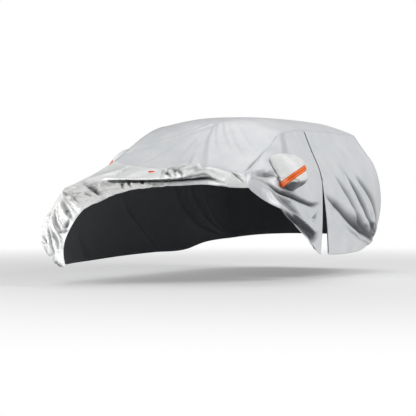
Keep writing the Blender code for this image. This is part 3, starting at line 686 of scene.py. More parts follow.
TOP_FOLDS = (
    Ridge(95, 65, ((20, 720, 2), (-200, 500, 10), (-420, 330, 15), (-660, 150, 17),
        (-720, 100, 6)), 0.0, 0.7),
    Ridge(60, 38, ((0, 860, 1), (50, 600, 4), (90, 420, 7), (150, 220, 11), (200, 60, 12)), 0.0, 0.8),
    Ridge(50, 30, ((30, 860, 1), (100, 620, 4), (200, 380, 2)), 0.0, 0.5),
    Ridge(50, 30, ((70, 880, 1), (170, 660, 4), (300, 420, 3)), 0.0, 0.5),
    Ridge(50, 30, ((120, 880, 1), (260, 640, 4), (420, 400, 3)), 0.0, 0.5),
    Ridge(50, 30, ((180, 900, 1), (360, 680, 4), (520, 500, 2)), 0.0, 0.5),
    Ridge(50, 34, ((-40, 860, 1), (-140, 680, 4), (-300, 540, 2)), 0.0, 0.5),
    Ridge(50, 34, ((-50, 780, 1), (-220, 600, 5), (-400, 470, 5), (-600, 360, 3)), 0.0, 0.5),
    Ridge(46, 30, ((-20, 600, 1), (-70, 380, 3), (-100, 160, 3)), 0.0, 0.5),
    Ridge(46, 30, ((-160, 440, 1), (-300, 240, 5), (-420, 80, 4)), 0.0, 0.5),
    # along the left seam
    Valley(14, 11, ((587, 620, 4), (585, 500, 14), (583, 300, 24), (580, 120, 24), (570, 30, 4)), 0.7),
    Ridge(42, 30, ((0, 260, 1), (30, 140, 6), (40, 50, 8)), 0.0, 0.7),
)
HOOD_FOLDS = (
    # the crumpled middle of the folded band
    Ridge(56, 35, ((180, 40, 6), (220, 160, 20), (200, 280, 12)), 0.2, 0.9),
    Ridge(48, 30, ((100, 100, 4), (20, 170, 18), (-60, 250, 16), (-80, 330, 4)), 0.7, 0.8),
    Ridge(48, 30, ((-20, 50, 8), (-50, 130, 20), (-20, 240, 20), (40, 340, 8)), 0.7, 0.9),
    Ridge(45, 28, ((-120, 50, 4), (-160, 150, 16), (-120, 280, 14), (-100, 360, 3)), 0.6, 0.9),
    Valley(26, 22, ((-100, 240, 4), (-30, 300, 20), (30, 360, 6)), 1.0, 0.5),
    Valley(22, 26, ((20, 200, 4), (70, 270, 22), (130, 350, 6)), 1.0, 0.5),
    Valley(40, 45, ((130, 250, 6), (240, 245, 14), (360, 235, 6)), 1.0, 0.0),
    Valley(45, 45, ((110, 110, 6), (200, 115, 12), (310, 110, 10)), 1.0, 0.1),
    Valley(30, 34, ((130, 375, 4), (200, 362, 22), (290, 338, 32), (360, 315, 20), (410, 340, 4)), 1.0, 0.3),
    Ridge(34, 22, ((300, 250, 2), (360, 210, 14), (440, 150, 14), (500, 100, 2)), 0.0, 0.5),
    Valley(26, 20, ((440, 30, 4), (510, 50, 20), (570, 80, 16), (610, 110, 3)), 0.9),
    # soft folds along the band's right half
    Ridge(72, 45, ((-140, 40, 3), (-280, 140, 10), (-400, 270, 10), (-440, 340, 3)), 0.0, 0.8),
    Valley(18, 16, ((-600, 60, 2), (-588, 149, 12), (-564, 267, 12), (-550, 330, 3)), 0.8),
    Ridge(64, 40, ((-600, 40, 4), (-640, 160, 12), (-720, 300, 14), (-800, 420, 4)), 0.0, 0.7),
    # the cloth beside the screen's foot, made greyer by painted shade on a wide shallow valley
    Valley(150, 100, ((-380, 30, 2), (-560, 70, 5), (-720, 140, 6), (-850, 280, 4)), 1.0, 0.0),
    # creases of the lower layer, from its fold to the free edge
    Valley(35, 30, ((-810, 530, 6), (-700, 680, 28), (-606, 802, 28), (-490, 960, 4)), 0.9),
    Valley(22, 22, ((-620, 890, 3), (-575, 950, 20), (-530, 1000, 3)), 1.0, 0.5),
    Valley(22, 24, ((-700, 1120, 3), (-655, 1140, 20), (-610, 1150, 3)), 0.8, 0.5),
    Valley(18, 18, ((-710, 990, 3), (-640, 1100, 16), (-570, 1200, 4)), 0.9, 0.5),
    Valley(24, 22, ((-830, 950, 4), (-760, 1000, 22), (-690, 1060, 3)), 0.9, 0.5),
    Valley(18, 22, ((-500, 450, 4), (-451, 653, 18), (-345, 853, 6)), 1.0, 0.5),
    Valley(16, 18, ((-430, 420, 4), (-411, 577, 18), (-302, 809, 6)), 1.0, 0.5),
    Valley(24, 28, ((-350, 430, 6), (-300, 560, 24), (-250, 700, 6)), 1.0, 0.4),
    Valley(24, 28, ((-240, 420, 6), (-160, 560, 24), (-50, 480, 10)), 1.0, 0.4),
)
RIGHT_FOLDS = (
    # sharp upright creases round the front corner
    Valley(24, 18, ((340, 730, 3), (318, 676, 18), (190, 570, 20), (80, 469, 16), (35, 390, 3)), 0.9, 0.6),
    Valley(22, 18, ((330, 790, 3), (280, 745, 18), (177, 681, 20), (80, 615, 16), (30, 580, 3)), 0.9, 0.6),
    Valley(20, 20, ((250, 530, 3), (228, 504, 18), (162, 420, 22), (128, 335, 18), (100, 240, 4)), 1.0, 0.6),
    Valley(18, 20, ((160, 480, 3), (140, 453, 16), (75, 378, 18), (50, 270, 4)), 0.9, 0.6),
    Valley(22, 22, ((75, 600, 3), (62, 550, 24), (40, 490, 4)), 1.0, 0.4),
    Valley(16, 20, ((100, 475, 3), (60, 465, 14), (10, 475, 10)), 0.9, 0.5),
    Valley(24, 26, ((290, 430, 4), (240, 385, 24), (190, 355, 3)), 1.0, 0.4),
    Ridge(60, 40, ((420, 740, 4), (340, 560, 18), (300, 300, 12)), 0.3, 0.8),
    Ridge(70, 50, ((560, 780, 4), (500, 520, 22), (460, 240, 14)), 0.3, 0.8),
    # long soft folds down the far side
    Ridge(110, 70, ((720, 840, 4), (640, 520, 22), (600, 200, 20)), 0.2, 0.8),
    Ridge(130, 80, ((1150, 920, 4), (1080, 550, 22), (1050, 200, 20)), 0.2, 0.8),
    Ridge(100, 60, ((1820, 860, 4), (2100, 620, 18), (2400, 360, 10)), 0.2, 0.8),
    Ridge(100, 60, ((2900, 1000, 4), (3240, 700, 20), (3800, 420, 6)), 0.3, 0.8),
    Valley(70, 50, ((3200, 1000, 4), (3500, 700, 30), (3950, 400, 12)), 0.7),
    Valley(60, 40, ((3500, 1020, 4), (3740, 740, 28), (4020, 420, 8)), 0.7),
)
CRUMPLES = (
    # centre, reach, facet size, height, sharpness, seed, painted shade, painted highlight
    Crumple((-0.80, -1.85, 0.55), (0.50, 0.50, 0.55), (0.13, 0.15, 0.30), 0.017, 1.0, 3, 0.30, 1.0),
    Crumple((-0.84, -1.98, 0.45), (0.34, 0.36, 0.42), (0.055, 0.055, 0.17), 0.009, 1.0, 8, 0.5),
    Crumple((-0.66, -1.75, 0.82), (0.40, 0.40, 0.12), (0.10, 0.17, 0.08), 0.011, 1.0, 15, 0.4, 1.0),
    Crumple((0.03, -1.32, 0.99), (0.22, 0.16, 0.07), (0.19, 0.09, 0.042), 0.012, 1.0, 5, 0.9, 0.5),
    Crumple((-0.30, -1.50, 0.865), (0.50, 0.25, 0.06), (0.06, 0.14, 0.07), 0.009, 1.0, 11, 1.0, 1.0),
    Crumple((-0.45, -1.33, 0.96), (0.30, 0.16, 0.08), (0.16, 0.07, 0.05), 0.003, 0.8, 25),
    Crumple((0.42, -1.22, 0.95), (0.30, 0.16, 0.12), (0.14, 0.08, 0.08), 0.004, 0.7, 21),
    Crumple((0.00, -0.70, 1.25), (0.70, 0.75, 0.40), (0.17, 0.45, 0.30), 0.0040, 0.35, 13),
    Crumple((0.78, -0.92, 0.90), (0.20, 0.26, 0.16), (0.10, 0.14, 0.06), 0.006, 0.8, 31, 0.3),
    Crumple((0.90, 0.90, 0.62), (0.20, 0.90, 0.55), (0.30, 0.30, 0.22), 0.005, 0.3, 41),
    Crumple((-0.90, 0.60, 0.62), (0.25, 1.60, 0.60), (0.30, 0.34, 0.26), 0.010, 0.4, 51),
    Crumple((0.00, 2.15, 0.80), (0.80, 0.30, 0.60), (0.32, 0.30, 0.30), 0.010, 0.35, 61),
    Crumple((0.00, 1.00, 1.50), (0.70, 1.20, 0.25), (0.40, 0.60, 0.40), 0.003, 0.2, 71),
)

# ---------------------------------------------------------------- finishes


def colour(code: str) -> tuple:
    """The linear colour of an sRGB hex code."""
    channels = [int(code[i : i + 2], 16) / 255 for i in (1, 3, 5)]
    return (*((c / 12.92 if c <= 0.04045 else ((c + 0.055) / 1.055) ** 2.4) for c in channels), 1.0)


def add_node(tree: NodeTree, kind: str, settings: dict, links: dict) -> bpy.types.bpy_prop_collection:
    """Adds a node.

    Args:
        tree: The material's nodes.
        kind: The node's type, without ShaderNode before it.
        settings: Values for its properties, by name, or for its inputs, by name or number.
        links: Output sockets that feed its inputs, by name or number.

    Returns:
        The node's outputs.
    """
    made = tree.nodes.new("ShaderNode" + kind)
    for key, value in settings.items():
        if isinstance(key, str) and key in made.bl_rna.properties:
            setattr(made, key, value)
        else:
            made.inputs[key].default_value = value
    for key, source in links.items():
        tree.links.new(source, made.inputs[key])
    return made.outputs


@dataclass(frozen=True)
class Finish:
    """The finish of some of the cover's pieces.

    Attributes:
        name: The material's name.
    """

    name: str

    def nodes(self, tree: NodeTree) -> dict:
        """Adds the finish's nodes.

        Args:
            tree: The material's nodes.

        Returns:
            What the shader's sockets take, by name: a value, or the output that feeds them.
        """
        raise NotImplementedError

    def material(self) -> Material:
        """Makes the material."""
        material = bpy.data.materials.new(self.name)
        material.use_nodes = True
        tree = material.node_tree
        sockets = tree.nodes["Principled BSDF"].inputs
        for key, value in self.nodes(tree).items():
            if isinstance(value, NodeSocket):
                tree.links.new(value, sockets[key])
            else:
                sockets[key].default_value = value
        return material


@dataclass(frozen=True)
class CoatedCloth(Finish):
    """Woven polyester with a silver coating, calendered smooth on its outer side.

    The coating gives it a satin sheen with soft darker clouds spread at random. Painted shade
    darkens it in creases and where it faces down, and a painted highlight brightens it where it is
    crumpled. Each wrinkle catches the light along its crest.

    Attributes:
        light: Its colour outside the clouds.
        dark: Its colour in the clouds.
        roughness: How matt the coating is.
        metallic: How much aluminium powder the coating shows.
        crinkle_mm: The size of its small crinkles.
        crinkle: How deep they are, in millimetres.
        painted_shade_colour: The colour of its painted shade, in deep creases and where it faces down.
        bright: The colour of its painted highlight, where it is crumpled.
        gleaming: How much deeper its crinkles are there, times over.
        cloud_mm: The size of its clouds.
        thread_mm: The thread spacing. The real one is 0.4 mm, drawn coarser so that it shows.
        stitching: The colour of the stitches along its edges.
        stitch_inset: How far in from the edge they lie, in metres.
        stitch_width: Half the thickness of their thread.
        stitch_pitch: How far apart they start.
        stitch_length: How long each is.
    """

    light: str
    dark: str
    roughness: float
    metallic: float
    crinkle_mm: float
    crinkle: float
    painted_shade_colour: str
    bright: str = "#F6F6F4"
    gleaming: float = 7.0
    cloud_mm: float = 170
    thread_mm: float = 1.6
    stitching: str = "#8C9094"
    stitch_inset: float = 0.009
    stitch_width: float = 0.0009
    stitch_pitch: float = 0.008
    stitch_length: float = 0.005

    def nodes(self, tree: NodeTree) -> dict:
        """Adds its clouds, painted shade and highlight, crinkles, weave and stitches, and gives its colour and
        bumps.
        """
        place = add_node(tree, "TexCoord", {}, {})["Object"]
        maps = [add_node(tree, "UVMap", {"uv_map": name}, {})["UV"] for name in ("metres", "edges", "creases")]
        # The creases map holds the painted shade's share, then the painted highlight's share.
        run, away, depth = (add_node(tree, "SeparateXYZ", {}, {0: uv}) for uv in maps)
        clouds = add_node(
            tree, "TexNoise", {"Scale": MM / self.cloud_mm, "Detail": 4.0, "Roughness": 0.55}, {"Vector": place}
        )
        # Small crinkles: noise folded at its middle, so that their crests are sharp.
        grain = {"Scale": MM / self.crinkle_mm, "Detail": 3.0, "Roughness": 0.6, "Distortion": 0.4}
        crinkles = add_node(tree, "TexNoise", grain, {"Vector": place})
        middle = add_node(tree, "Math", {"operation": "SUBTRACT", 1: 0.5}, {0: crinkles["Fac"]})
        crests = add_node(tree, "Math", {"operation": "ABSOLUTE"}, {0: middle[0]})
        more = add_node(tree, "Math", {"operation": "MULTIPLY_ADD", 1: self.gleaming, 2: 1.0}, {0: depth[1]})
        deeper = add_node(tree, "Math", {"operation": "MULTIPLY"}, {0: crests[0], 1: more[0]})
        # Plain weave: the crossing of two thread directions.
        scale = math.tau / self.thread_mm * MM / 2
        threads = add_node(tree, "Mapping", {"Scale": (scale,) * 3}, {"Vector": maps[0]})
        ways = add_node(tree, "SeparateXYZ", {}, {0: threads[0]})
        warp, weft = (add_node(tree, "Math", {"operation": "SINE"}, {0: ways[i]})[0] for i in range(2))
        weave = add_node(tree, "Math", {"operation": "MULTIPLY"}, {0: warp, 1: weft})
        # A row of stitches along each edge.
        rows = []
        for edge, along in ((away[0], run[1]), (away[1], run[0])):
            line = {"operation": "COMPARE", 1: self.stitch_inset, 2: self.stitch_width}
            near = add_node(tree, "Math", line, {0: edge})
            step = add_node(tree, "Math", {"operation": "MODULO", 1: self.stitch_pitch}, {0: along})
            thread = add_node(tree, "Math", {"operation": "LESS_THAN", 1: self.stitch_length}, {0: step[0]})
            rows.append(add_node(tree, "Math", {"operation": "MULTIPLY"}, {0: near[0], 1: thread[0]})[0])
        stitches = add_node(tree, "Math", {"operation": "MAXIMUM"}, {0: rows[0], 1: rows[1]})
        ends = {"data_type": "RGBA", 6: colour(self.light), 7: colour(self.dark)}
        shade = add_node(tree, "Mix", ends, {0: clouds["Fac"]})[2]
        # Painted highlight on crumpled cloth, painted shade in creases and on undersides, then stitches.
        for code, share in ((self.bright, depth[1]), (self.painted_shade_colour, depth[0]), (self.stitching, stitches[0])):
            shade = add_node(tree, "Mix", {"data_type": "RGBA", 7: colour(code)}, {0: share, 6: shade})[2]
        bumps = (
            # height, strength, distance, inverted
            (deeper, 1.0, self.crinkle / MM * 4, True),
            (weave, 0.25, 0.0002, False),
            (stitches, 0.8, 0.0006, False),
        )
        normal = {}
        for height, strength, distance, inverted in bumps:
            settings = {"Strength": strength, "Distance": distance, "invert": inverted}
            normal = {"Normal": add_node(tree, "Bump", settings, {"Height": height[0], **normal})[0]}
        return {"Roughness": self.roughness, "Metallic": self.metallic, "Base Color": shade, **normal}


@dataclass(frozen=True)
class BrushedBacking(Finish):
    """Uncoated back of the cloth: matt grey fibre with a faint nap, darkened as painted shade inside."""

    name: str = "brushed_polyester_back"
    # Partly its own grey, partly painted shade for the inside of the cover.
    light: str = "#6E7174"
    dark: str = "#5C5F63"
    nap_mm: float = 6.0

    def nodes(self, tree: NodeTree) -> dict:
        """Adds its nap to a tree, and gives its colour and bumps."""
        place = add_node(tree, "TexCoord", {}, {})["Object"]
        nap = add_node(tree, "TexNoise", {"Scale": MM / self.nap_mm, "Detail": 5.0}, {"Vector": place})["Fac"]
        tint = add_node(tree, "Mix", {"data_type": "RGBA", 6: colour(self.light), 7: colour(self.dark)}, {0: nap})
        rough = add_node(tree, "Bump", {"Strength": 0.4, "Distance": 0.0008}, {"Height": nap})
        return {"Roughness": 0.9, "Base Color": tint[2], "Normal": rough[0]}


@dataclass(frozen=True)
class ReflectiveTape(Finish):
    """Orange prismatic tape: two brighter yellow-orange lines run down it, over a fine honeycomb."""

    name: str = "orange_reflective_tape"
    base: str = "#EA4C08"
    line: str = "#FF8A10"
    line_inset: float = 0.014
    line_width: float = 0.005
    cell_mm: float = 3.0

    def nodes(self, tree: NodeTree) -> dict:
        """Adds its lines and honeycomb to a tree, and gives its colour and bumps."""
        edges, metres = (add_node(tree, "UVMap", {"uv_map": name}, {})["UV"] for name in ("edges", "metres"))
        away = add_node(tree, "SeparateXYZ", {}, {0: edges})
        inset = {"operation": "COMPARE", 1: self.line_inset, 2: self.line_width}
        lines = add_node(tree, "Math", inset, {0: away[1]})
        comb = {"feature": "DISTANCE_TO_EDGE", "Scale": MM / self.cell_mm, "Randomness": 0.15}
        cells = add_node(tree, "TexVoronoi", comb, {"Vector": metres})
        ends = {"data_type": "RGBA", 6: colour(self.base), 7: colour(self.line)}
        tint = add_node(tree, "Mix", ends, {0: lines[0]})
        prisms = add_node(tree, "Bump", {"Strength": 0.35, "Distance": 0.0005}, {"Height": cells["Distance"]})
        coat = {"Roughness": 0.5, "Coat Weight": 0.1, "Coat Roughness": 0.2}
        return {**coat, "Base Color": tint[2], "Normal": prisms[0]}


@dataclass(frozen=True)
class WovenTape(Finish):
    """Woven polyester tape: a close rib across its length.

    Attributes:
        base: Its colour.
        rib_mm: The spacing of its ribs. The real one is 1.5 mm, drawn coarser so that it shows.
    """

    name: str = "woven_zip_tape"
    base: str = "#3A3C40"
    rib_mm: float = 1.5 * math.tau

    def nodes(self, tree: NodeTree) -> dict:
        """Adds its ribs to a tree, and gives its bumps."""
        metres = add_node(tree, "UVMap", {"uv_map": "metres"}, {})["UV"]
        # At a scale of one a wave texture turns by 20 radians in a length of one.
        wave = {"bands_direction": "X", "Scale": MM * math.tau / self.rib_mm / 20, "Distortion": 0.3}
        ribs = add_node(tree, "TexWave", wave, {"Vector": metres})
        raised = add_node(tree, "Bump", {"Strength": 0.6, "Distance": 0.0006}, {"Height": ribs["Fac"]})
        return {"Roughness": 0.8, "Base Color": colour(self.base), "Normal": raised[0]}


@dataclass(frozen=True)
class MouldedPlastic(Finish):
    """Injection-moulded acetal: dark, smooth, with a faint moulding grain."""

    name: str = "acetal_zip_teeth"
    base: str = "#232427"
    grain_mm: float = 0.8

    def nodes(self, tree: NodeTree) -> dict:
        """Adds its grain to a tree, and gives its bumps."""
        place = add_node(tree, "TexCoord", {}, {})["Object"]
        grain = add_node(tree, "TexNoise", {"Scale": MM / self.grain_mm}, {"Vector": place})
        rough = add_node(tree, "Bump", {"Strength": 0.2, "Distance": 0.0002}, {"Height": grain["Fac"]})
        return {"Roughness": 0.38, "Base Color": colour(self.base), "Normal": rough[0]}


@dataclass(frozen=True)
class PaintedFloor(Finish):
    """Pale painted floor that fades into the white background.

    Attributes:
        near: How far from the cover it starts to fade, in metres.
        far: How far from it it is gone.
        least: How much of it is gone near the cover.
    """

    name: str = "painted_studio_floor"
    near: float = 2.0
    far: float = 9.0
    least: float = 0.30

    def nodes(self, tree: NodeTree) -> dict:
        """Mixes a white glow into what the shader gives the material. Its colour stays pale grey."""
        seen = add_node(tree, "LightPath", {}, {})["Is Camera Ray"]
        place = add_node(tree, "TexCoord", {}, {})["Object"]
        away = add_node(tree, "VectorMath", {"operation": "LENGTH"}, {0: place})["Value"]
        span = {"interpolation_type": "SMOOTHSTEP", 1: self.near, 2: self.far, 3: self.least}
        fade = add_node(tree, "MapRange", span, {0: away})
        share = add_node(tree, "Math", {"operation": "MULTIPLY"}, {0: fade[0], 1: seen})
        glow = add_node(tree, "Emission", {"Color": (1, 1, 1, 1), "Strength": 1.0}, {})
        shader = tree.nodes["Principled BSDF"].outputs[0]
        mixed = add_node(tree, "MixShader", {}, {0: share[0], 1: shader, 2: glow[0]})
        tree.links.new(mixed[0], tree.nodes["Material Output"].inputs["Surface"])
        return {"Roughness": 0.9}


@dataclass(frozen=True)
class Finishes:
    """Every finish of the cover, made once."""

    silver: Material
    bright: Material
    backing: Material
    orange: Material
    tape: Material
    teeth: Material

    @classmethod
    def make(cls) -> "Finishes":
        """Makes the materials."""
        kinds = (
            # The last colour of each cloth is the colour of its painted shade.
            CoatedCloth("silver_coated_polyester", "#E9EAEB", "#D2D5D9", 0.42, 0.14, 50.0, 1.0, "#56585C"),
            CoatedCloth("bright_aluminised_polyester", "#FDFDFC", "#F3F4F5", 0.32, 0.10, 60.0, 1.6, "#5A5D61"),
            BrushedBacking(),
            ReflectiveTape(),
            WovenTape(),
            MouldedPlastic(),
        )
        return cls(*(kind.material() for kind in kinds))


# ---------------------------------------------------------------- pieces


def add_object(name: str, data: bpy.types.ID) -> Object:
    """Puts an object in the scene."""
    made = bpy.data.objects.new(name, data)
    bpy.context.scene.collection.objects.link(made)
    return made


def add_mesh(name: str, work: bmesh.types.BMesh, materials: Iterable) -> Object:
    """Puts a finished bmesh in the scene, and frees it.

    Args:
        name: The object's name.
        work: The bmesh.
        materials: Its finishes.

    Returns:
        The object.
    """
    mesh = bpy.data.meshes.new(name)
    work.to_mesh(mesh)
    work.free()
    for material in materials:
        mesh.materials.append(material)
    return add_object(name, mesh)


def dress(piece: Object, node: str = "") -> Object:
    """Makes a piece ride on the cover's one body.

    Args:
        piece: The piece.
        node: The node that it replaces, if there is one.

    Returns:
        The piece.
    """
    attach(piece, "root")
    if node:
        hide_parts(node)
    LOG.info("%s: %d faces", piece.name, len(piece.data.polygons))
    return piece


def sheet_object(
    name: str, points: Points, materials: Iterable, thickness: float, painted_shade_share: Points = 0.0, painted_gleam: Points = 0.0
) -> Object:
    """Makes a thin sheet on a grid of points, thickened outwards.

    Args:
        name: The piece's name.
        points: The grid, in the tables' axes.
        materials: Its outer finish, and its inner one if that differs.
        thickness: How thick it is.
        painted_shade_share: How much painted shade it has at each point, from 0 to 1.
        painted_gleam: How much painted highlight and extra crinkle it has at each point, from 0 to 1.

    Returns:
        The piece, with its own sizes, edge distances, and painted shade and highlight as UV maps.
    """
    rows, columns = points.shape[:2]
    work = bmesh.new()
    bmesh.ops.create_grid(work, x_segments=columns - 1, y_segments=rows - 1, size=1)
    for vertex, place in zip(work.verts, (points - ROOF_REST).reshape(-1, 3)):
        vertex.co = place
    sheet = add_mesh(name, work, materials)
    mesh = sheet.data
    metres = runs(points)
    above, below, before, behind = from_edges(metres)
    edges = np.stack([np.minimum(before, behind), np.minimum(above, below)], axis=-1)
    # The creases map: painted shade's share, then painted highlight's share.
    creases = np.stack([np.broadcast_to(values, (rows, columns)) for values in (painted_shade_share, painted_gleam)], axis=-1)
    corner = np.zeros(len(mesh.loops), np.int32)
    mesh.loops.foreach_get("vertex_index", corner)
    for label, values in (("metres", metres), ("edges", edges), ("creases", creases)):
        layer = mesh.uv_layers.new(name=label)
        layer.data.foreach_set("uv", values.reshape(-1, 2)[corner].ravel())
    mesh.polygons.foreach_set("use_smooth", [True] * len(mesh.polygons))
    solid = sheet.modifiers.new("cloth", "SOLIDIFY")
    solid.thickness = thickness
    solid.offset = 1
    solid.material_offset = len(mesh.materials) - 1
    return sheet


def ribbon(
    name: str, line: Points, normals: Points, width: float, lift: float, material: Material,
    thickness: float = TAPE,
) -> Object:
    """Makes a flat band along a line.

    Args:
        name: The piece's name.
        line: Points down its middle.
        normals: The way it faces at each.
        width: Its width.
        lift: How far it lies off the line, along the normals.
        material: Its finish.
        thickness: How thick it is.

    Returns:
        The band.
    """
    normals = normals / np.linalg.norm(normals, axis=1, keepdims=True)
    across = np.cross(np.gradient(line, axis=0), normals)
    across /= np.linalg.norm(across, axis=1, keepdims=True)
    shares = np.linspace(-0.5, 0.5, 7)
    band = np.stack([line + normals * lift + across * width * share for share in shares])
    if (normals_of(band) * normals).sum() < 0:
        band = band[:, ::-1]
    return sheet_object(name, band, [material], thickness)


def cut_hole(piece: Object, centre: Place, half: Place) -> None:
    """Cuts an oval hole in a side panel, and rounds its edge.

    Args:
        piece: The panel.
        centre: The hole's middle, y and z.
        half: Its half length and half height.
    """
    middle = np.array(centre) - ROOF_REST[1:]
    work = bmesh.new()
    work.from_mesh(piece.data)
    inside = [
        face for face in work.faces
        if (((np.array(face.calc_center_median())[1:] - middle) / half) ** 2).sum() < 1
    ]
    rim = {vertex for face in inside for vertex in face.verts}
    bmesh.ops.delete(work, geom=inside, context="FACES")
    for vertex in rim:
        if vertex.is_valid and vertex.is_boundary:
            offset = (np.array(vertex.co)[1:] - middle) / half
            vertex.co[1:] = middle + offset / np.linalg.norm(offset) * half
    work.to_mesh(piece.data)
    work.free()


def touch(tree: BVHTree, eye: Vector, aim: Vector, lift: float) -> Vector:
    """Finds a point just off a surface.

    Args:
        tree: The surface.
        eye: Where it is looked at from.
        aim: What is looked at. If the surface isn't met on the way, its point nearest to aim is taken.
        lift: How far off the surface the point lies.

    Returns:
        The point.
    """
    place, normal, *_ = tree.ray_cast(eye, (aim - eye).normalized())
    if place is None:
        place, normal, *_ = tree.find_nearest(aim)
    return place + normal * math.copysign(lift, normal.dot(eye - place))


def on_panel(tree: BVHTree, outwards: int, y: float, z: float) -> Vector:
    """The point of a side panel seen from outside at y, z, or the nearest on its edge."""
    hit = tree.ray_cast(Vector((2 * outwards, y, z)), Vector((-outwards, 0, 0)))[0]
    return hit or tree.find_nearest(Vector((0.8 * outwards, y, z)))[0]


def panel_tree(*grids: Points) -> BVHTree:
    """A ray-casting tree of panels."""
    places, faces = [], []
    for points in grids:
        rows, columns = points.shape[:2]
        corner = np.arange(rows * columns).reshape(rows, columns) + len(places)
        quads = np.stack([corner[:-1, :-1], corner[:-1, 1:], corner[1:, 1:], corner[1:, :-1]], -1)
        places += points.reshape(-1, 3).tolist()
        faces += quads.reshape(-1, 4).tolist()
    return BVHTree.FromPolygons(places, faces)


@dataclass
class Panel:
    """A sewn panel of the cover: one sheet on its folds.

    Attributes:
        name: Its node's name.
        outward: Roughly the way it faces.
        flat: Its cut's width and length. Not used.
        area: Its cut's area. Not used.
        cell: The size of its mesh's cells.
        folds: Its own folds.
        sewn: Which of its edges are seams, in the order above, below, before, behind.
        held: How it is held. Not used.
        slot: Its material slot.
        hole: The middle and half sizes, y and z, of the hole in it.
        grid: Its points once it is built, in the tables' axes.
    """

    name: str
    outward: tuple
    flat: tuple
    area: float
    cell: float
    folds: tuple = ()
    sewn: tuple = (True, False, True, True)
    held: Held = Held.DRAPED
    slot: Slot = Slot.SILVER
    hole: tuple = ()
    grid: Points = None

    def surface(self) -> Points:
        """The panel's smooth surface."""
        raise NotImplementedError

    def places(self, points: Points) -> Points:
        """The two coordinates that its folds are placed by."""
        return points[..., 1:]

    def freedom(self, points: Points) -> Points:
        """How freely each point moves: nothing at a seam, and fully a little way from it."""
        free = np.ones(points.shape[:2])
        for distance, is_seam in zip(from_edges(runs(points)), self.sewn):
            if is_seam:
                free *= smooth_share(distance, 0.0, SEAM_EASE)
        return free

    def folded(self) -> tuple:
        """The panel's points on its folds and creases, and its painted shade and painted highlight at each."""
        points = facing(self.surface(), self.outward)
        wander = np.stack([noise_at(points, WANDER_SIZE, seed) for seed in WANDER_SEEDS], axis=-1)
        places = self.places(points) + WANDER * wander
        lift = sum(fold.lift(places) for fold in self.folds) + sum(crumple.lift(points) for crumple in CRUMPLES)
        moved = points + normals_of(points) * (lift[0] * self.freedom(points))[..., None]
        # Painted shade where the cloth faces down, joined with the painted shade of folds and crumples.
        under = smooth_share(-normals_of(moved)[..., 2], *UNDERSIDE_SHADE)
        # Painted highlight over the crumpled patches.
        painted_gleam = sum(crumple.painted_gleam * np.exp(-crumple.away(points)) for crumple in CRUMPLES)
        return moved, np.clip(np.maximum(lift[1], under), 0, 1), np.clip(painted_gleam, 0, 1)

    def build(self, finishes: Finishes) -> Object:
        """Makes the panel, with the hole behind its mirror pocket.

        Args:
            finishes: The cover's finishes.

        Returns:
            The piece, in its node's place.
        """
        self.grid, painted_shade_share, painted_gleam = self.folded()
        outer = finishes.silver if self.slot is Slot.SILVER else finishes.bright
        piece = sheet_object(self.name + "_cloth", self.grid, [outer, finishes.backing], CLOTH, painted_shade_share, painted_gleam)
        if self.hole:
            cut_hole(piece, *self.hole)
        return dress(piece, self.name)

    def declare(self, piece: Object, trims: Sequence) -> None:
        """Takes the piece and what is sewn on it, and does nothing with them."""


class TopPanel(Panel):
    """The long middle panel, over the screen and the roof."""

    def surface(self) -> Points:
        """The panel's smooth surface."""
        return loft(self.cell, roof_lines, len(STATIONS) - 1, (0, TOP_STRIPS)).swapaxes(0, 1)

    def places(self, points: Points) -> Points:
        """x, and the distance from the screen's foot."""
        return np.stack([points[..., 0], runs(points)[..., 1]], axis=-1)


class RearPanel(Panel):
    """The panel down the tail."""

    def surface(self) -> Points:
        """The panel's smooth surface."""
        return loft(self.cell, tail_lines, len(TAIL) - 1, (0, TAIL_STRIPS)).swapaxes(0, 1)


class FrontPanel(TopPanel):
    """The front panel, folded back on itself across the foot of the screen."""

    def surface(self) -> Points:
        """The panel's smooth surface, from its ridge to its free edge."""
        return loft(self.cell, hood_lines, len(HOOD) - 1, (1, 6))


class LeftFrontPanel(Panel):
    """The left side ahead of the zip."""

    def surface(self) -> Points:
        """The panel's smooth surface."""
        return loft(self.cell, side_lines(left_seam, LEFT_FRONT), len(LEFT_FRONT) - 1, (0, 4))


class LeftRearPanel(Panel):
    """The left side behind the zip, pulled towards its lower rear corner."""

    def surface(self) -> Points:
        """The panel's smooth surface."""
        return loft(self.cell, side_lines(seam_behind_zip, LEFT_REAR), len(LEFT_REAR) - 1, (0, 4))


class RightPanel(Panel):
    """The right side in one piece, from its free edge at the front to the tail."""

    def surface(self) -> Points:
        """The panel's smooth surface."""
        return loft(self.cell, right_lines, RIGHT[-1][1], (0, 4))

    def places(self, points: Points) -> Points:
        """The distance round the panel from its free front edge, and z."""
        along = runs(points)[..., 0]
        if points[0, 0, 1] > points[0, -1, 1]:
            along = along[:, -1:] - along
        return np.stack([along, points[..., 2]], axis=-1)


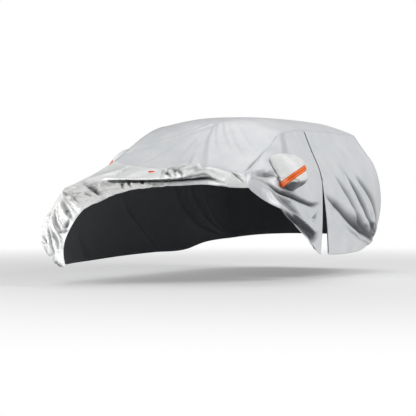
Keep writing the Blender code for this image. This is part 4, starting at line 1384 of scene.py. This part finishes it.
@dataclass
class MirrorPocket:
    """A pocket for a mirror, sewn on a side and open to the space inside, with its reflective strip.

    Attributes:
        side: left or right.
        centre: The middle of its rim, y and z.
        half_length: Half its length along the cover.
        half_height: Half its height.
        slant: How far its top lies behind its middle.
        reach: How far it stands out.
        lean: How far its outer face lies forward.
        rise: How far its outer face lies up.
        flat: Its cut's width and length. Not used.
        strip_ends: Where its strip starts and ends, in shares of its half length and half height.
        strip_width: The width of its strip.
        strip_lift: How far its strip lies off it.
        strip_sight: Where its strip looks straight from, with x outwards.
        hole_share: The size of the hole behind it, as a share of its own.
        squareness: How square its outer face is, and how full it is up to its rim.
        fullness: How steep its walls are, less being steeper.
        rounding: How much its corners are drawn in.
        cells: How many cells it has each way.
        crease: How high its creases stand.
        ease: How far from its rim they are at their full height.
        under: How far down its cloth faces where its painted shade starts, and where it is full.
        painted_gleam: How much painted highlight and extra crinkle it has.
    """

    side: str
    centre: tuple
    half_length: float
    half_height: float
    slant: float
    reach: float
    lean: float
    rise: float
    flat: tuple
    strip_ends: tuple = ((0.72, 0.12), (-1.00, -0.92))
    strip_width: float = 0.050
    strip_lift: float = 0.0035
    strip_sight: tuple = (6.2, -14.6, 0.8)
    hole_share: float = 0.78
    squareness: float = 4.2
    fullness: float = 0.48
    rounding: float = 0.4
    cells: int = 55
    crease: float = 0.004
    ease: float = 0.04
    under: tuple = (-0.10, 0.60)
    painted_gleam: float = 0.4

    @property
    def outwards(self) -> int:
        """1 on the left side, and -1 on the right."""
        return 1 if self.side == "left" else -1

    def hole(self) -> tuple:
        """The middle and half sizes of the hole behind it."""
        return self.centre, (self.half_length * self.hole_share, self.half_height * self.hole_share)

    def points(self, tree: BVHTree, along: Points, up: Points) -> Points:
        """Points of the pocket.

        Args:
            tree: The panels under it.
            along: Shares of its half length, rearwards.
            up: Shares of its half height.

        Returns:
            The points, in the tables' axes.
        """
        y = self.centre[0] + self.half_length * along * np.sqrt(1 - self.rounding * up**2) + self.slant * up
        z = self.centre[1] + self.half_height * up * np.sqrt(1 - self.rounding * along**2)
        shares = (1 - np.abs(share) ** self.squareness for share in (along, up))
        bulge = np.clip(np.prod(list(shares), axis=0), 0, 1) ** self.fullness
        base = np.array([on_panel(tree, self.outwards, *place) for place in zip(y.ravel(), z.ravel())])
        base = base.reshape(*y.shape, 3)
        base[..., 0] += self.outwards * (CLOTH + 0.001 + self.reach * bulge)
        base[..., 1] += self.lean * bulge
        base[..., 2] += self.rise * bulge
        return base

    def build(self, tree: BVHTree, finishes: Finishes) -> None:
        """Makes the pocket and its strip.

        Args:
            tree: The panels under it.
            finishes: The cover's finishes.
        """
        steps = np.sin(np.linspace(-np.pi / 2, np.pi / 2, self.cells + 1))
        points = facing(self.points(tree, *np.meshgrid(steps, steps)), (self.outwards, 0, 0))
        free = smooth_share(np.min(from_edges(runs(points)), axis=0), 0.0, self.ease)
        creases = 0.5 * noise_at(points, (0.10, 0.16, 0.05), 7) + facets_at(points, (0.07, 0.10, 0.05), 9)
        points = points + normals_of(points) * (creases * self.crease * free)[..., None]
        # Painted shade where the pocket faces down.
        painted_shade_share = smooth_share(-normals_of(points)[..., 2], *self.under)
        name = self.side + "_mirror_pocket"
        layers = [finishes.bright, finishes.backing]
        pocket = dress(sheet_object(name + "_cloth", points, layers, CLOTH, painted_shade_share, self.painted_gleam), name)
        strip = self.strip(tree, points, finishes.orange)

    def strip(self, tree: BVHTree, grid: Points, material: Material) -> Object:
        """Makes the reflective strip, which runs straight across the pocket as seen from the front.

        Args:
            tree: The panels under the pocket.
            grid: The pocket's points.
            material: The strip's finish.

        Returns:
            The strip.
        """
        start, end = (Vector(self.points(tree, *np.array(share)[:, None])[0]) for share in self.strip_ends)
        eye = Vector((self.outwards * self.strip_sight[0], *self.strip_sight[1:]))
        across = (end - start).cross(start - eye).normalized() * self.strip_width
        pocket = panel_tree(grid)
        rows = [
            [touch(pocket, eye, start.lerp(end, along) + across * aside, self.strip_lift)
             for along in np.linspace(0, 1, 49)]
            for aside in np.linspace(-0.5, 0.5, 9)
        ]
        name = self.side + "_mirror_strip"
        points = facing(np.array(rows), (self.outwards, 0, 0))
        return dress(sheet_object(name + "_tape", points, [material], TAPE), name)


@dataclass
class SideZip:
    """The zip in the left side: its chain closed above, its slider, and its two tapes beside the slit.

    Attributes:
        closed_rows: Where its chain starts and ends, in rows down the side: 0 seam, 4 hem.
        open_rows: Where its tapes start and end.
        chain_width: The width of the closed chain's dark band.
        chain_lift: How far the band, its teeth and the open teeth stand off the cloth's line.
        chain_tooth: A closed tooth's length across, its height, and its length along.
        tape_width: The width of one tape.
        tape_thickness: Its thickness.
        tape_lift: How far it lies off the cloth's line.
        tape_tooth: An open tooth's sizes.
        showing: How much of each tape shows past the cloth's edge.
        pitch: The spacing of its teeth. A real coarse zip has 3 mm.
        blocks: The slider's body, its bridge and its pull: where each lies out and along, and its
            size across, out and along.
    """

    closed_rows: tuple = (0.1, 2.25)
    open_rows: tuple = (2.25, 3.97)
    chain_width: float = 0.018
    chain_lift: tuple = (CLOTH + 0.0006, CLOTH + 0.0028, -0.003)
    chain_tooth: tuple = (0.006, 0.0022, 0.0017)
    tape_width: float = 0.022
    tape_thickness: float = 0.001
    tape_lift: float = -0.0035
    tape_tooth: tuple = (0.004, 0.0032, 0.0017)
    showing: float = 0.009
    pitch: float = 0.0035
    blocks: tuple = (
        ((0.0055, 0.002), (0.0125, 0.0030, 0.018)),
        ((0.0095, 0.000), (0.0035, 0.0040, 0.009)),
        ((0.0090, 0.024), (0.0065, 0.0016, 0.030)),
    )

    def edges(self, rows: Points) -> tuple:
        """The edges of the cloth ahead of and behind the zip, at rows down the side."""
        front = side_lines(left_seam, LEFT_FRONT)(np.array([len(LEFT_FRONT) - 1.0]))[0]
        rear = side_lines(seam_behind_zip, LEFT_REAR)(np.array([0.0]))[0]
        return curve(front, rows), curve(rear, rows)

    def normals(self, line: Points) -> Points:
        """The left side's normals along a line down it."""
        normals = np.cross(np.gradient(line, axis=0), (0, 1.0, 0))
        normals *= np.sign(normals[:, :1])
        return normals / np.linalg.norm(normals, axis=1, keepdims=True)

    def teeth(
        self, name: str, line: Points, normals: Points, lift: float, size: tuple, material: Material
    ) -> Object:
        """Makes a row of teeth along a line.

        Args:
            name: The piece's name.
            line: Points along the row.
            normals: The way they stand out at each point.
            lift: How far they stand off the line.
            size: A tooth's length across, height and length along.
            material: Their finish.

        Returns:
            The row, one mesh.
        """
        run = distances(line)
        at = np.arange(self.pitch, run[-1], self.pitch)
        places, outs = (np.stack([np.interp(at, run, each[:, i]) for i in range(3)], 1) for each in (line, normals))
        work = bmesh.new()
        for place, out, way in zip(places, outs, np.gradient(places, axis=0)):
            tooth = bmesh.ops.create_cube(work, size=1)["verts"]
            out = Vector(out).normalized()
            way = (Vector(way) - out * out.dot(Vector(way))).normalized()
            side = way.cross(out)
            centre = Vector(place - ROOF_REST) + out * lift
            for vertex in tooth:
                x, y, z = (a * b for a, b in zip(vertex.co, size))
                vertex.co = centre + side * x + out * y + way * z
        return add_mesh(name, work, [material])

    def build(self, finishes: Finishes) -> tuple:
        """Makes the zip's pieces.

        Args:
            finishes: The cover's finishes.

        Returns:
            The pieces on the front panel, and those on the rear one.
        """
        tape, teeth = finishes.tape, finishes.teeth
        band_lift, teeth_lift, open_lift = self.chain_lift
        front, rear = self.edges(np.linspace(*self.closed_rows, 90))
        middle = (front + rear) / 2
        outs = self.normals(middle)
        chain = ribbon("zip_chain_band", middle, outs, self.chain_width, band_lift, tape)
        row = self.teeth("zip_chain_teeth", middle, outs, teeth_lift, self.chain_tooth, teeth)
        slider = self.slider(middle, outs, teeth)
        for piece, node in ((chain, "zip_chain"), (row, "zip_chain"), (slider, "zip_slider")):
            dress(piece, node)
        sides = []
        front, rear = self.edges(np.linspace(*self.open_rows, 90))
        for name, edge, way in (("front", front, 1), ("rear", rear, -1)):
            node = f"zip_{name}_tape"
            outs = self.normals(edge)
            line = edge + (0, way * (self.showing - self.tape_width / 2), 0)
            woven = ribbon(f"{node}_woven", line, outs, self.tape_width, self.tape_lift, tape, self.tape_thickness)
            line = edge + (0, way * (self.showing - 0.001), 0)
            row = self.teeth(f"zip_{name}_teeth", line, outs, open_lift, self.tape_tooth, teeth)
            sides.append([dress(woven, node), dress(row, node)])
        return [chain, sides[1][1], *sides[0]], sides[1]

    def slider(self, line: Points, normals: Points, material: Material) -> Object:
        """Makes the slider with its hanging pull, at the foot of the closed chain.

        Args:
            line: Points down the chain.
            normals: The way it faces at each.
            material: The slider's finish.

        Returns:
            The slider.
        """
        out = Vector(normals[-1])
        way = Vector(line[-1] - line[-2]).normalized()
        side = way.cross(out)
        work = bmesh.new()
        for (outwards, along), size in self.blocks:
            block = bmesh.ops.create_cube(work, size=1)["verts"]
            edges = list({edge for vertex in block for edge in vertex.link_edges})
            for vertex in block:
                vertex.co = Vector(a * b for a, b in zip(vertex.co, size)) + Vector((0, outwards, along))
            bmesh.ops.bevel(work, geom=edges, offset=0.0006, segments=2, profile=0.5, affect="EDGES", material=-1)
        for vertex in work.verts:
            x, y, z = vertex.co
            vertex.co = Vector(line[-1] - ROOF_REST) + side * x + out * y + way * z
        bmesh.ops.recalc_face_normals(work, faces=work.faces)
        return add_mesh("zip_slider_body", work, [material])


@dataclass
class Seams:
    """The narrow felled bands along the cover's seams, each on the panel it is sewn to.

    Attributes:
        width: The width of a band.
        thickness: Its thickness.
        lift: How far it lies off the cloth's line.
        lean: How far it faces to its side.
    """

    width: float = 0.010
    thickness: float = 0.0008
    lift: float = CLOTH + 0.0006
    lean: float = 0.7

    def build(self, top: Panel, rear: Panel, finishes: Finishes) -> dict:
        """Makes the bands.

        Args:
            top: The top panel, already built.
            rear: The rear panel, already built.
            finishes: The cover's finishes.

        Returns:
            The bands, by the name of the panel they lie on.
        """
        bands = {top.name: [], rear.name: []}
        for side, sign in (("left", 1), ("right", -1)):
            for panel, seam in ((top, "roof"), (rear, "corner")):
                at = -1 if (panel.grid[0, -1, 0] - panel.grid[0, 0, 0]) * sign > 0 else 0
                ways = normals_of(panel.grid)[:, at] + (self.lean * sign, 0, 0)
                band = ribbon(
                    f"{side}_{seam}_seam", panel.grid[:, at], ways, self.width, self.lift, finishes.silver,
                    self.thickness,
                )
                bands[panel.name].append(dress(band))
        return bands


@dataclass
class HoodStrip:
    """The short end of orange tape that shows on the folded band.

    Attributes:
        place: Its middle, x and z.
        length: Its length.
        width: Its width.
        lift: How far it lies off the cloth's line.
        way: The way it faces.
    """

    place: tuple = (-0.25, 0.995)
    length: float = 0.060
    width: float = 0.016
    lift: float = CLOTH + 0.003
    way: tuple = (0.0, -1.0, 0.6)

    def build(self, hood: Panel, finishes: Finishes) -> Object:
        """Makes the strip on the built front panel."""
        tree = panel_tree(hood.grid)
        x, z = self.place
        starts = [Vector((x + self.length * share, -2, z)) for share in np.linspace(-0.5, 0.5, 13)]
        line = np.array([tree.ray_cast(start, Vector((0, 1, 0)))[0] for start in starts])
        ways = np.tile(self.way, (len(line), 1))
        strip = ribbon("hood_strip_tape", line, ways, self.width, self.lift, finishes.orange)
        return dress(strip, "hood_strip")


@dataclass
class Studio:
    """The pale floor, the soft lights and the camera.

    Attributes:
        eye: Where the camera stands, in the tables' axes.
        turn: How far it is turned to the left of y, in degrees.
        tilt: How far up it looks, in degrees.
        lens: Its focal length, in millimetres.
        floor: Half the floor's width, in metres.
        fill: The colour of the light from all round.
        lights: Each light's name, place, aim, size and power.
    """

    eye: tuple = (6.205, -14.555, 0.80)
    turn: float = 23.9
    tilt: float = -0.5
    lens: float = 142.27
    floor: float = 60
    fill: tuple = (0.163, 0.165, 0.168)
    lights: tuple = (
        ("key", (-5.5, -10.0, 3.0), (-0.3, -0.8, 0.8), 4.0, 650.0),
        ("right", (-9.5, -7.0, 1.6), (-0.8, -1.5, 0.6), 3.0, 350.0),
        ("sky", (0.0, 3.0, 7.2), (0.0, 0.5, 0.8), 6.0, 180.0),
        ("side", (8.5, 1.5, 6.0), (0.5, 0.4, 0.8), 5.0, 575.0),
    )

    def build(self) -> None:
        """Makes them all."""
        scene = bpy.context.scene
        data = bpy.data.cameras.new("camera")
        data.sensor_width = 36
        data.lens = self.lens
        data.clip_end = 200
        camera = add_object("camera", data)
        camera.location = np.array(self.eye) - ROOF_REST
        camera.rotation_euler = (math.radians(90 + self.tilt), 0, math.radians(self.turn))
        scene.camera = camera
        work = bmesh.new()
        bmesh.ops.create_grid(work, x_segments=1, y_segments=1, size=self.floor)
        bmesh.ops.translate(work, verts=work.verts, vec=(0, 0, -ROOF_REST[2]))
        add_mesh("floor", work, [PaintedFloor().material()])
        for name, place, aim, size, power in self.lights:
            lamp = bpy.data.lights.new(name, "AREA")
            lamp.size = size
            lamp.energy = power
            light = add_object(name, lamp)
            light.location = np.array(place) - ROOF_REST
            light.rotation_euler = (Vector(aim) - Vector(place)).to_track_quat("-Z", "Y").to_euler()
        scene.world = bpy.data.worlds.new("studio")
        scene.world.use_nodes = True
        tree = scene.world.node_tree
        # The background itself is seen white.
        seen = add_node(tree, "LightPath", {}, {})["Is Camera Ray"]
        ends = {"data_type": "RGBA", 6: (*self.fill, 1), 7: (1, 1, 1, 1)}
        tone = add_node(tree, "Mix", ends, {0: seen})
        tree.links.new(tone[2], tree.nodes["Background"].inputs["Color"])
        scene.view_settings.view_transform = "Standard"


def main() -> None:
    """Builds the studio and then every piece of the cover."""
    logging.basicConfig(level=logging.INFO, format="%(message)s")
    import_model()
    Studio().build()
    finishes = Finishes.make()
    left_pocket = MirrorPocket(
        side="left", centre=(-0.605, 0.990), half_length=0.205, half_height=0.165, slant=0.105, reach=0.180,
        lean=-0.070, rise=0.036, flat=(0.62, 0.56),
    )
    right_pocket = MirrorPocket(
        side="right", centre=(-0.490, 1.092), half_length=0.180, half_height=0.140, slant=0.040, reach=0.160,
        lean=-0.030, rise=0.012, flat=(0.56, 0.44), strip_ends=((0.30, 0.12), (-1.00, -0.50)),
    )
    left, right, up = (1, 0, 0), (-1, 0, 0), (0, 0, 1)
    top = TopPanel("top_panel", up, (1.5, 3.4), 4.6, 0.011, TOP_FOLDS, (True,) * 4)
    rear = RearPanel("rear_panel", (0, 1, 0), (2.0, 1.3), 2.2, 0.024)
    hood = FrontPanel(
        "hood_panel", up, (1.7, 1.3), 1.3, 0.008, HOOD_FOLDS, held=Held.FOLDED, slot=Slot.BRIGHT
    )
    left_front = LeftFrontPanel(
        "left_front_panel", left, (1.6, 1.3), 1.4, 0.009, LEFT_FRONT_FOLDS, hole=left_pocket.hole()
    )
    left_rear = LeftRearPanel("left_rear_panel", left, (2.0, 1.4), 2.4, 0.010, LEFT_REAR_FOLDS)
    right_side = RightPanel("right_panel", right, (4.6, 1.5), 4.9, 0.011, RIGHT_FOLDS, hole=right_pocket.hole())
    panels = (top, rear, hood, left_front, left_rear, right_side)
    pieces = {panel.name: panel.build(finishes) for panel in panels}
    left_pocket.build(panel_tree(left_front.grid, top.grid), finishes)
    right_pocket.build(panel_tree(right_side.grid, top.grid), finishes)
    front_zip, rear_zip = SideZip().build(finishes)
    trims = {
        **Seams().build(top, rear, finishes),
        "hood_panel": [HoodStrip().build(hood, finishes)],
        "left_front_panel": front_zip,
        "left_rear_panel": rear_zip,
    }
    for panel in panels:
        panel.declare(pieces[panel.name], trims.get(panel.name, ()))


if __name__ == "__main__":
    main()
